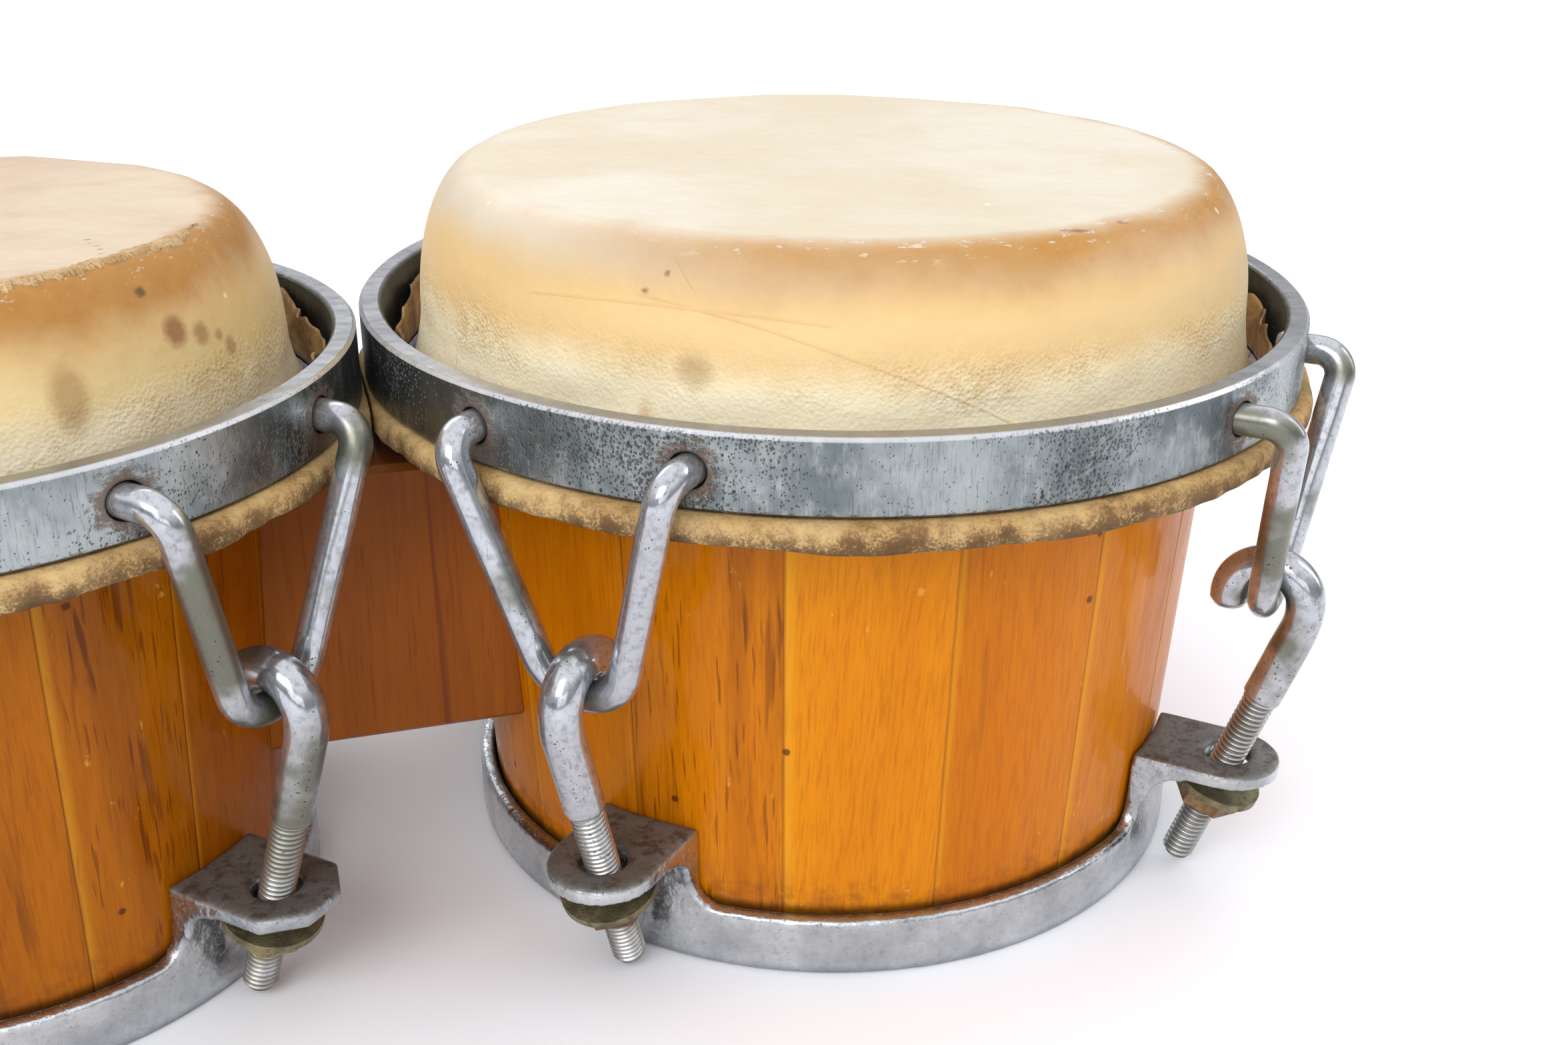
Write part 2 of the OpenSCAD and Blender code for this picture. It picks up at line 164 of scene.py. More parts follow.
def waves(angle, seed, low, high, size):
    """Smooth periodic noise round the axis: harmonics low to high, about plus or minus size."""
    rng = np.random.default_rng(seed)
    total = np.zeros_like(np.asarray(angle, float))
    orders = range(low, high + 1)
    for order in orders:
        total = total + rng.normal() * np.cos(order * angle + rng.uniform(0, TAU))
    return total * size / math.sqrt(len(orders))


def turned(profile, angles, move=None):
    """Grid of points (rows = profile, columns = angles); move(r, z, angle) may shift r and z."""
    r = np.repeat(profile[:, :1], len(angles), 1)
    z = np.repeat(profile[:, 1:2], len(angles), 1)
    a = np.repeat(np.asarray(angles)[None, :], len(profile), 0)
    if move:
        r, z = move(r, z, a)
    return np.stack([r * np.cos(a), r * np.sin(a), z], -1)


def even_angles(count):
    return np.arange(count) / count * TAU


def lathe(profile, angles, move=None, closed=True):
    """Points and faces of a turned shape. An open profile that starts and ends on the axis gets caps."""
    grid = turned(profile, angles, move)
    rows, columns = grid.shape[:2]
    faces = grid_faces(rows, columns, closed, True)
    points = grid.reshape(-1, 3)
    if not closed:
        points, faces = capped(points, faces, rows, columns)
    return points, faces


def capped(points, faces, rows, columns):
    """Closes both ends of a tube-like grid with a fan."""
    first, last = points[:columns].mean(0), points[-columns:].mean(0)
    points = np.vstack([points, first, last])
    start, end = rows * columns, rows * columns + 1
    base = (rows - 1) * columns
    for j in range(columns):
        k = (j + 1) % columns
        faces.append([start, k, j])
        faces.append([end, base + j, base + k])
    return points, faces


def rounded_path(corners, radii, step):
    """Polyline through corners with rounded bends, as points about step apart."""
    corners = [np.array(c, float) for c in corners]
    out = [corners[0]]
    for here, radius, before, after in zip(corners[1:-1], radii, corners, corners[2:]):
        u = (before - here) / np.linalg.norm(before - here)
        v = (after - here) / np.linalg.norm(after - here)
        half = math.acos(np.clip(u @ v, -1, 1)) / 2
        trim = radius / math.tan(half)
        centre = here + (u + v) / np.linalg.norm(u + v) * radius / math.sin(half)
        start, end = here + u * trim, here + v * trim
        extend(out, start, step)
        sweep = math.pi - 2 * half
        count = max(4, int(radius * sweep / step * 1.6))
        p = start - centre
        q = np.cross(np.cross(p, end - centre), p)
        q = q / np.linalg.norm(q) * radius
        for k in range(1, count + 1):
            t = sweep * k / count
            out.append(centre + p * math.cos(t) + q * math.sin(t))
    extend(out, corners[-1], step)
    return np.array(out)


def extend(points, target, step):
    """Adds a straight run of points to the list, up to target."""
    here = points[-1]
    run = np.linalg.norm(target - here)
    if run < step / 1000:
        return
    count = max(1, int(run / step))
    for k in range(1, count + 1):
        points.append(here + (target - here) * k / count)


def tube(path, sides, radius_at, start_normal=(0, 1, 0)):
    """A rod along path; radius_at(s, theta) is its radius at a length along it and an angle round it."""
    tangent = np.gradient(path, axis=0)
    tangent /= np.linalg.norm(tangent, axis=1)[:, None]
    length = np.concatenate([[0], np.cumsum(np.linalg.norm(np.diff(path, axis=0), axis=1))])
    normal = np.array(start_normal, float)
    theta = even_angles(sides)
    rings = []
    for point, along, s in zip(path, tangent, length):
        normal = normal - along * (normal @ along)
        normal /= np.linalg.norm(normal)
        side = np.cross(along, normal)
        r = radius_at(s, theta)[:, None]
        rings.append(point + r * (np.cos(theta)[:, None] * normal + np.sin(theta)[:, None] * side))
    grid = np.array(rings)
    faces = grid_faces(len(path), sides, False, True)
    return capped(grid.reshape(-1, 3), faces, len(path), sides)


def lug_matrix(side, index):
    """Row frame place of a lug's own frame: X outwards, Z up, origin at the drum's axis on the floor."""
    turn = Matrix.Rotation(math.radians(LUG_ANGLES[index]), 4, "Z")
    return Matrix.Translation((DRUMS[side]["x"] * MM, 0, 0)) @ turn


# ---- shader writing


def rgb(r, g, b):
    """Screen colour 0 to 255 as a linear colour."""
    def linear(c):
        c /= 255
        return c / 12.92 if c <= 0.04045 else ((c + 0.055) / 1.055) ** 2.4
    return (linear(r), linear(g), linear(b), 1)


class Value:
    """A shader value that is added, subtracted and multiplied like a number."""

    def __init__(self, paint, socket):
        self.paint = paint
        self.socket = socket

    def __add__(self, other):
        return self.paint.math("ADD", self, other)

    def __sub__(self, other):
        return self.paint.math("SUBTRACT", self, other)

    def __rsub__(self, other):
        return self.paint.math("SUBTRACT", other, self)

    def __mul__(self, other):
        return self.paint.math("MULTIPLY", self, other)

    __radd__ = __add__
    __rmul__ = __mul__


class Paint:
    """A material in the making. The methods that make nodes return a value to feed the next one."""

    def __init__(self, name):
        self.material = bpy.data.materials.new(name)
        self.material.use_nodes = True
        self.tree = self.material.node_tree
        self.shader = self.tree.nodes["Principled BSDF"]

    def node(self, kind, inputs, out=0, **settings):
        made = self.tree.nodes.new(kind)
        for key, value in settings.items():
            setattr(made, key, value)
        for key, value in inputs.items():
            self.put(made.inputs[key], value)
        return Value(self, made.outputs[out])

    def put(self, socket, value):
        if isinstance(value, Value):
            self.tree.links.new(value.socket, socket)
        else:
            socket.default_value = value

    def set(self, **values):
        """Sets or links shader sockets; an underscore in a name stands for a space."""
        for key, value in values.items():
            self.put(self.shader.inputs[key.replace("_", " ")], value)

    def done(self, **values):
        """The finished material: the layered colour, and other values for its shader."""
        self.set(Base_Color=self.colour, **values)
        return self.material

    def math(self, operation, *values):
        return self.node("ShaderNodeMath", dict(enumerate(values)), operation=operation)

    def vector(self, operation, *values, out=0):
        return self.node("ShaderNodeVectorMath", dict(enumerate(values)), out, operation=operation)

    def smooth(self, value, low, high):
        """0 below low, 1 above high, and a smooth step between."""
        inputs = {0: value, 1: low, 2: high, 3: 0.0, 4: 1.0}
        return self.node("ShaderNodeMapRange", inputs, interpolation_type="SMOOTHSTEP")

    def fall(self, value, low, high):
        """1 below low, 0 above high."""
        return 1.0 - self.smooth(value, low, high)

    def span(self, value, low, high):
        """Stretches 0..1 to low..high."""
        return self.node("ShaderNodeMapRange", {0: value, 1: 0.0, 2: 1.0, 3: low, 4: high})

    def mix(self, factor, a, b):
        inputs = {0: factor, 6: a, 7: b}
        return self.node("ShaderNodeMix", inputs, 2, data_type="RGBA")

    def over(self, mask, tone, amount=None):
        """Lays a tone over the colour so far, where the mask is 1, at full strength or by an amount."""
        factor = mask if amount is None else mask * amount
        self.colour = self.mix(factor, self.colour, tone)

    def noise(self, place, scale, detail=3.0, rough=0.55, twist=0.0):
        inputs = {"Vector": place, "Scale": scale, "Detail": detail, "Roughness": rough, "Distortion": twist}
        return self.node("ShaderNodeTexNoise", inputs)

    def cells(self, place, scale):
        return self.node("ShaderNodeTexVoronoi", {"Vector": place, "Scale": scale})

    def random(self, place):
        """White noise: one random colour for each place."""
        return self.node("ShaderNodeTexWhiteNoise", {"Vector": place}, 1)

    def stretch(self, place, z, x=1):
        """Scales a place along Z, and X: below 1 the pattern gets longer."""
        return self.vector("MULTIPLY", place, (x, 1, z))

    def place(self, centre_x=0.0, seed=(0, 0, 0)):
        """Object coordinates in millimetres, from an axis at centre_x and shifted by a seed."""
        raw = self.node("ShaderNodeTexCoord", {}, 3)
        shifted = self.vector("SUBTRACT", raw, (centre_x * MM, 0, 0))
        return self.vector("MULTIPLY_ADD", shifted, (1000, 1000, 1000), seed)

    def split(self, place):
        made = self.tree.nodes.new("ShaderNodeSeparateXYZ")
        self.put(made.inputs[0], place)
        return [Value(self, socket) for socket in made.outputs]

    def join(self, x, y, z):
        return self.node("ShaderNodeCombineXYZ", {0: x, 1: y, 2: z})

    def polar(self, place):
        """Radius, angle in degrees and height of a place."""
        x, y, z = self.split(place)
        radius = self.math("SQRT", x * x + y * y)
        angle = self.math("ARCTAN2", y, x) * (360 / TAU)
        return radius, angle, z

    def spot(self, place, centre, radii):
        """1 inside an ellipsoid and 0 outside it, with a soft edge."""
        offset = self.vector("SUBTRACT", place, centre)
        scaled = self.vector("DIVIDE", offset, radii)
        length = self.vector("LENGTH", scaled, out=1)
        return self.fall(length, 0.5, 1.5)

    def bump(self, height, distance, normal=None):
        """Distance is the height in metres of a full step."""
        inputs = {"Height": height, "Distance": distance, "Strength": 1.0}
        if normal is not None:
            inputs["Normal"] = normal
        return self.node("ShaderNodeBump", inputs)

    def pits(self, place, scale, share, size):
        """Scattered round specks: share is how many of the cells have one."""
        made = self.tree.nodes.new("ShaderNodeTexVoronoi")
        self.put(made.inputs["Vector"], place)
        self.put(made.inputs["Scale"], scale)
        distance, own = Value(self, made.outputs["Distance"]), Value(self, made.outputs["Color"])
        pick = share - self.split(own)[0]
        return self.fall(distance, size * 0.55, size) * self.smooth(pick, 0.0, 0.04)

    def steps(self, value, colours):
        """Picks one of a row of colours, for value 0 to 1."""
        made = self.tree.nodes.new("ShaderNodeValToRGB")
        made.color_ramp.interpolation = "CONSTANT"
        stops = made.color_ramp.elements
        while len(stops) < len(colours):
            stops.new(0.5)
        for k, colour in enumerate(colours):
            stops[k].position = k / len(colours)
            stops[k].color = (*colour, 1)
        self.put(made.inputs[0], value)
        return Value(self, made.outputs[0])

    def most(self, a, b):
        return self.math("MAXIMUM", a, b)


def round_point(radius, degrees, height):
    """A place on a drum, from its radius, angle and height."""
    a = math.radians(degrees)
    return (radius * math.cos(a), radius * math.sin(a), height)


# ---- wood

# Each stave from the drum's left side on round: redness, dark streaks, pale glue-side strip.
STAVE_LOOKS = {
    "right": (
        (0.45, 0.30, 0.50), (0.40, 1.00, 0.20), (0.05, 0.10, 0.90), (0.55, 0.20, 0.45),
        (0.40, 0.10, 0.75), (0.30, 0.05, 0.20), (0.60, 0.40, 0.30), (0.20, 0.10, 0.60),
        (0.50, 0.60, 0.10), (0.25, 0.05, 0.35), (0.65, 0.20, 0.15), (0.10, 0.30, 0.70),
        (0.45, 0.80, 0.10), (0.30, 0.10, 0.40), (0.55, 0.15, 0.25), (0.15, 0.50, 0.55),
    ),
    # On the small drum, the last three staves in the second row face the large drum round angle 0: their
    # high redness is painted shade.
    "left": (
        (0.30, 0.20, 0.30), (0.60, 0.40, 0.20), (0.35, 0.15, 0.60), (0.55, 0.55, 0.30),
        (0.55, 0.85, 0.85), (0.85, 0.55, 0.35), (0.95, 0.60, 0.10), (0.95, 0.60, 0.10),
        (0.20, 0.40, 0.60), (0.55, 0.10, 0.10), (0.35, 0.70, 0.25), (0.15, 0.10, 0.50),
        (0.60, 0.30, 0.20), (0.25, 0.05, 0.70), (0.45, 0.60, 0.15), (0.50, 0.15, 0.40),
    ),
}

# The small drum's lacquer is darker: partly its own darker wood, partly painted shade from the large drum
# beside it.
WOOD_TONE_AND_SHADE = {"right": 1.0, "left": 0.86}


def stave_place(p, place):
    """Turns a drum's place so that the angle's seam lies on a glue line; gives angle / stave angle."""
    inputs = {"Vector": place, "Angle": -math.radians(STAVE_TURN + STAVE_ANGLE / 2)}
    turned_place = p.node("ShaderNodeVectorRotate", inputs, rotation_type="Z_AXIS")
    return p.polar(turned_place)[1] * (1 / STAVE_ANGLE)


def lacquered_staves(name, side):
    """Amber lacquer over pine staves."""
    p = Paint(name)
    place = p.place()
    count = stave_place(p, place)
    index = p.math("FLOOR", count)
    across = count - index
    look = p.steps(index * (1 / STAVES) + (0.5 + 0.5 / STAVES), STAVE_LOOKS[side])
    tone, streaky, paleness = p.split(look)
    own = p.vector("MULTIPLY_ADD", p.random(p.join(index, 3.7, 0.5)), (300, 300, 300), place)
    x, y, h = p.split(own)
    leaning = p.join(x + h * ((tone - 0.4) * 0.14), y, h * 0.03)
    broad = p.noise(leaning, 0.085, 3, 0.5)
    fine = p.noise(leaning, 1.5, 4, 0.65)
    thin = p.noise(p.stretch(leaning, 0.5), 0.55, 2, 0.5)
    zone = p.smooth(p.noise(leaning, 0.07, 2, 0.5), 0.40, 0.62)
    streak = p.smooth(thin, 0.55, 0.66) * (zone * streaky)

    def amber(r, g, b):
        return rgb(r * WOOD_TONE_AND_SHADE[side], g * WOOD_TONE_AND_SHADE[side], b)

    golden = p.mix(broad, amber(200, 110, 0), amber(226, 144, 4))
    ruddy = p.mix(broad, amber(170, 82, 0), amber(198, 108, 2))
    p.colour = p.mix(tone, golden, ruddy)
    p.over(p.smooth(fine, 0.40, 0.75), amber(142, 64, 0), 0.4)
    p.over(zone * streaky, amber(122, 54, 4), 0.45)
    p.over(streak, rgb(70, 26, 10), 0.8)
    hairline = p.smooth(p.noise(leaning, 0.95, 2, 0.5), 0.62, 0.68) * p.smooth(streaky, 0.25, 0.9)
    p.over(hairline, rgb(92, 36, 8), 0.55)
    pale_width = p.span(paleness, 0.02, 0.11)
    pale = (1.0 - p.smooth(across, 0.012, pale_width)) * p.span(paleness, 0.2, 0.8)
    p.over(pale, amber(228, 162, 32), 0.6)
    edge = p.math("MINIMUM", across, 1.0 - across)
    glue = p.fall(edge, 0.002, 0.012)
    p.over(glue, rgb(110, 54, 10), 0.35)
    ding = p.smooth(p.noise(p.stretch(own, 0.6), 0.16, 4, 0.7), 0.66, 0.72)
    p.over(ding, rgb(232, 170, 70), 0.5)
    speck = p.pits(place, 0.10, 0.25, 0.12)
    p.over(speck, rgb(64, 26, 8), 0.8)
    z = p.split(place)[2]
    low_dirt = p.fall(z, 15, 30) * p.smooth(p.noise(place, 0.25, 3), 0.4, 0.7)
    p.over(low_dirt, rgb(120, 58, 24), 0.55)
    # Dark band where the shell goes into the ring: dirt, and painted shadow in the gap.
    foot = p.fall(z, 14.5, 17.5)
    p.over(foot, rgb(40, 24, 14), 0.75)
    # Darker band under the roll: a stain, and painted shade under the rim.
    high = p.smooth(z, RIM_BOTTOM - 16, RIM_BOTTOM - 4)
    p.over(high, rgb(110, 52, 20), 0.45)
    height = fine * 0.25 - (glue + ding * 0.35)
    gentle = p.bump(p.noise(p.stretch(place, 0.3), 0.12, 2), 0.0006)
    return p.done(
        Roughness=p.span(p.noise(place, 0.2, 3), 0.30, 0.50),
        Normal=p.bump(height, 0.00012, gentle),
        Specular_IOR_Level=0.12,
        Specular_Tint=(1.0, 0.62, 0.22, 1),
        Coat_Weight=0.22,
        Coat_Roughness=0.08,
        Coat_Normal=gentle,
    )


def bare_pine(name):
    """The shell's inside: raw, dusty pine."""
    p = Paint(name)
    place = p.place()
    long = p.stretch(place, 0.06)
    broad = p.noise(long, 0.12, 3, 0.5, 0.3)
    fine = p.noise(long, 1.5, 4, 0.7)
    p.colour = p.mix(broad, rgb(150, 98, 52), rgb(190, 138, 82))
    p.over(p.smooth(fine, 0.4, 0.75), rgb(104, 62, 32), 0.5)
    dust = p.smooth(p.noise(place, 0.07, 4), 0.5, 0.75)
    p.over(dust, rgb(168, 146, 118), 0.3)
    return p.done(Roughness=p.span(fine, 0.6, 0.85), Normal=p.bump(fine, 0.0002))


def block_wood(name):
    """Red-brown satin block between the drums, with thin dark grain lines."""
    p = Paint(name)
    place = p.place()
    long = p.stretch(place, 0.05)
    broad = p.noise(long, 0.06, 3, 0.5, 0.3)
    fine = p.noise(p.stretch(place, 0.035), 0.9, 4, 0.65)
    pore = p.smooth(p.noise(p.stretch(place, 0.045), 1.6, 2, 0.5), 0.66, 0.74)
    line_noise = p.noise(p.stretch(place, 0.02), 0.22, 3, 0.5)
    line = p.smooth(line_noise, 0.64, 0.70)
    p.colour = p.mix(broad, rgb(128, 64, 14), rgb(160, 90, 28))
    p.over(p.smooth(fine, 0.4, 0.8), rgb(98, 46, 20), 0.4)
    p.over(line, rgb(84, 34, 26), 0.55)
    p.over(pore, rgb(96, 42, 26), 0.35)
    z = p.split(place)[2]
    # Darker towards the top, under the heads and rims: painted shade, made patchy by a noise.
    grime = p.smooth(z, 78, 112) * p.span(p.noise(place, 0.09, 4), 0.3, 1.0)
    p.over(grime, rgb(88, 46, 26), 0.65)
    spots = p.pits(place, 0.08, 0.2, 0.14)
    p.over(spots, rgb(140, 56, 6), 0.6)
    return p.done(
        Roughness=p.span(p.noise(place, 0.3, 3), 0.34, 0.55),
        Normal=p.bump(fine - p.most(line, pore) * 0.6, 0.0001),
        Specular_IOR_Level=0.15,
        Specular_Tint=(1.0, 0.75, 0.5, 1),
        Coat_Weight=0.06,
        Coat_Roughness=0.25,
    )


# ---- metal


def distance_to_holes(p, side, place):
    """Millimetres from the middle of the nearest bail hole in the rim's outer face."""
    nearest = 100.0
    for turn, legs in zip(LUG_ANGLES, LUGS[side]["legs"]):
        for leg in legs:
            degrees = turn + math.degrees(math.asin(leg / DRUMS[side]["r"]))
            centre = round_point(DRUMS[side]["r"], degrees, HOLE_Z)
            nearest = p.math("MINIMUM", p.vector("DISTANCE", place, centre, out=1), nearest)
    return nearest


def plated_rim(name, side):
    """Dull, pitted chrome band with rust round its bail holes."""
    p = Paint(name)
    drum = DRUMS[side]
    place = p.place(drum["x"])
    radius, _, z = p.polar(place)
    cloud = p.noise(place, 0.03, 4, 0.6)
    haze = p.noise(p.stretch(place, 0.5), 0.35, 4, 0.65)
    scratch = p.noise(p.stretch(place, 0.10), 2.2, 3, 0.7)
    p.colour = p.mix(p.smooth(cloud, 0.35, 0.65), rgb(104, 112, 114), rgb(166, 172, 172))
    p.over(p.smooth(haze, 0.45, 0.75), rgb(186, 189, 186), 0.55)
    p.over(p.smooth(scratch, 0.50, 0.75), rgb(70, 77, 80), 0.55)
    outer = p.smooth(radius, drum["r"] - 4.4, drum["r"] - 3.9)
    inner = p.fall(radius, drum["r"] - 5.0, drum["r"] - 4.6)
    # Lighter top face: partly rubbed smooth, with fewer pits (below), partly painted sheen.
    top = p.smooth(z, RIM_TOP - 0.9, RIM_TOP - 0.2) * (1.0 - inner)
    p.over(top, rgb(184, 184, 188), 0.55)
    # Painted highlight along the outer top edge.
    near_top = p.smooth(z, RIM_TOP - 1.0, RIM_TOP - 0.7)
    edge = near_top * p.smooth(radius, drum["r"] - 0.9, drum["r"] - 0.5)
    p.over(edge, rgb(226, 226, 230), 0.45)
    p.over(inner, rgb(84, 82, 72), 0.8)
    patch = p.smooth(p.noise(place, 0.024, 2, 0.5), 0.40, 0.60)
    ragged = p.vector("MULTIPLY_ADD", p.noise(place, 1.6, 2), (0.7, 0.7, 0.7), p.stretch(place, 0.75))
    fine_pits = p.pits(ragged, 1.55, p.span(patch, 0.22, 0.95), p.span(patch, 0.26, 0.50))
    coarse_pits = p.pits(ragged, 0.62, p.span(patch, 0.06, 0.50), p.span(patch, 0.12, 0.30))
    black = p.most(fine_pits * 0.75, coarse_pits)
    black = black * (1.0 - top * 0.7)
    p.over(black, rgb(34, 28, 24), 0.9)
    from_hole = distance_to_holes(p, side, place)
    rust_noise = p.noise(p.stretch(place, 2.0), 0.35, 4, 0.7)
    rust = p.fall(from_hole - rust_noise * 13.5, -2.5, 0.5) * outer
    p.over(rust, rgb(110, 82, 62), 0.8)
    deep = p.fall(from_hole, 3.6, 4.6)
    p.over(deep, rgb(46, 30, 22), 0.85)
    low_rust = p.fall(z, RIM_BOTTOM + 0.3, RIM_BOTTOM + 1.4) * p.smooth(rust_noise, 0.52, 0.6)
    p.over(low_rust, rgb(74, 46, 34), 0.8)
    dull = p.most(p.most(black, rust * 0.6), low_rust)
    rough = p.span(haze, 0.26, 0.46) + (dull * 0.3 + inner * 0.15)
    height = scratch * 0.2 - dull
    gentle = p.bump(p.noise(place, 0.09, 2), 0.0006)
    return p.done(
        Metallic=1.0 - dull * 0.75,
        Roughness=rough,
        Normal=p.bump(height, 0.00018, gentle),
    )


def plated_cast(name, side):
    """Worn plated casting of the base ring and its lugs."""
    p = Paint(name)
    drum = DRUMS[side]
    place = p.place(drum["x"])
    radius, _, z = p.polar(place)
    cloud = p.noise(place, 0.05, 4, 0.6)
    haze = p.noise(place, 0.5, 4, 0.65)
    p.colour = p.mix(p.smooth(cloud, 0.3, 0.7), rgb(160, 164, 167), rgb(204, 206, 208))
    p.over(p.smooth(haze, 0.5, 0.8), rgb(120, 120, 122), 0.4)
    plate_z = LUGS[side]["plate"]
    outward = p.smooth(radius, drum["r"] - 25, drum["r"] - 23)
    plate = p.smooth(z, plate_z - 1.2, plate_z - 0.3) * outward
    stain = plate * p.span(p.noise(place, 0.22, 4, 0.65), 0.7, 1.0)
    p.over(stain, rgb(74, 68, 54), 0.93)
    brown = plate * p.smooth(p.noise(place, 0.3, 4, 0.7), 0.5, 0.62)
    p.over(brown, rgb(62, 42, 30), 0.6)
    speck = p.smooth(p.noise(place, 1.1, 3, 0.7), 0.62, 0.70)
    p.over(speck * p.span(plate, 0.35, 1.0), rgb(60, 54, 48), 0.7)
    # Dark line on the ring's lip next to the shell: dirt, and painted shadow in the gap.
    joint = p.smooth(z, 13.2, 14.6) * p.fall(radius, drum["r"] - 24.6, drum["r"] - 23.8)
    p.over(joint, rgb(30, 27, 20), 0.9)
    hidden = p.fall(z, 0.8, 3.0)
    p.over(hidden, rgb(90, 90, 92), 0.35)
    dull = p.most(stain * 0.7, p.most(joint, speck * 0.5))
    height = haze * 0.35 - speck * 0.6
    gentle = p.bump(p.noise(place, 0.16, 3), 0.0008)
    return p.done(
        Metallic=1.0 - dull * 0.95,
        Roughness=p.span(haze, 0.2, 0.36) + dull * 0.35,
        Normal=p.bump(height, 0.00018, gentle),
    )


def bright_rod(name, seed, worn):
    """Chromed rod: bright, with pits, a yellow-grey film in patches and a little rust."""
    p = Paint(name)
    place = p.place(0.0, seed)
    film = p.smooth(p.noise(place, 0.045, 3, 0.55), 0.54 - worn, 0.70 - worn)
    haze = p.noise(place, 0.6, 4, 0.6)
    p.colour = p.mix(film, rgb(186, 188, 193), rgb(118, 118, 104))
    p.over(p.smooth(haze, 0.45, 0.75), rgb(104, 108, 112), 0.55)
    streak = p.noise(p.stretch(place, 0.22), 1.2, 3, 0.7)
    p.over(p.smooth(streak, 0.55, 0.72), rgb(84, 88, 92), 0.4)
    flaw = p.smooth(p.noise(place, 0.05, 2), 0.42, 0.62)
    ragged = p.vector("MULTIPLY_ADD", p.noise(place, 1.4, 2), (0.8, 0.8, 0.8), place)
    pit = p.pits(ragged, 0.95, p.span(flaw, 0.05, 0.50), p.span(flaw, 0.14, 0.32))
    rust = p.smooth(p.noise(place, 0.22, 4, 0.75), 0.72, 0.77)
    p.over(pit, rgb(46, 42, 40), 0.85)
    p.over(rust, rgb(98, 60, 42), 0.7)
    dull = p.most(pit, rust)
    rough = p.span(haze, 0.09, 0.2) + (film * 0.18 + dull * 0.4)
    hammered = p.bump(p.noise(place, 0.12, 1, 0.3), 0.00012)
    p.set(
        Base_Color=p.colour,
        Metallic=0.8 - dull * 0.5,
        Roughness=rough,
        Normal=p.bump(haze * 0.1 - dull, 0.00005, hammered),
    )
    return p, rough


def threaded_rod(name, seed, worn):
    """The same rod with grime in the roots of its thread. Its own Z runs along the shank."""
    p, rough = bright_rod(name, seed, worn)
    own = p.place()
    radius, _, z = p.polar(own)
    threaded = p.fall(z, THREAD_END - 1.0, THREAD_END + 1.0)
    root = p.fall(radius, 3.25, 3.75) * threaded
    grime = root * p.span(p.noise(own, 0.12, 3), 0.45, 1.0)
    p.over(threaded, rgb(182, 180, 170), 0.45)
    p.over(grime, rgb(66, 58, 46), 0.9)
    return p.done(Roughness=rough + (grime * 0.35 + threaded * 0.08))


def worn_steel(name, light, dark, stain, seed=(0, 0, 0), metal=0.85):
    """Small hardware: two plating tones and a stain."""
    p = Paint(name)
    place = p.place(0.0, seed)
    cloud = p.noise(place, 0.18, 4, 0.65)
    grain = p.noise(place, 1.4, 4, 0.7)
    p.colour = p.mix(p.smooth(cloud, 0.35, 0.65), light, dark)
    patch = p.smooth(p.noise(place, 0.32, 4, 0.7), 0.52, 0.64)
    p.over(patch, stain, 0.8)
    p.over(p.smooth(grain, 0.55, 0.8), rgb(40, 34, 30), 0.4)
    return p.done(
        Metallic=p.span(patch, metal, metal * 0.4),
        Roughness=p.span(grain, 0.3, 0.5) + patch * 0.25,
        Normal=p.bump(grain, 0.0003),
    )


# ---- rawhide


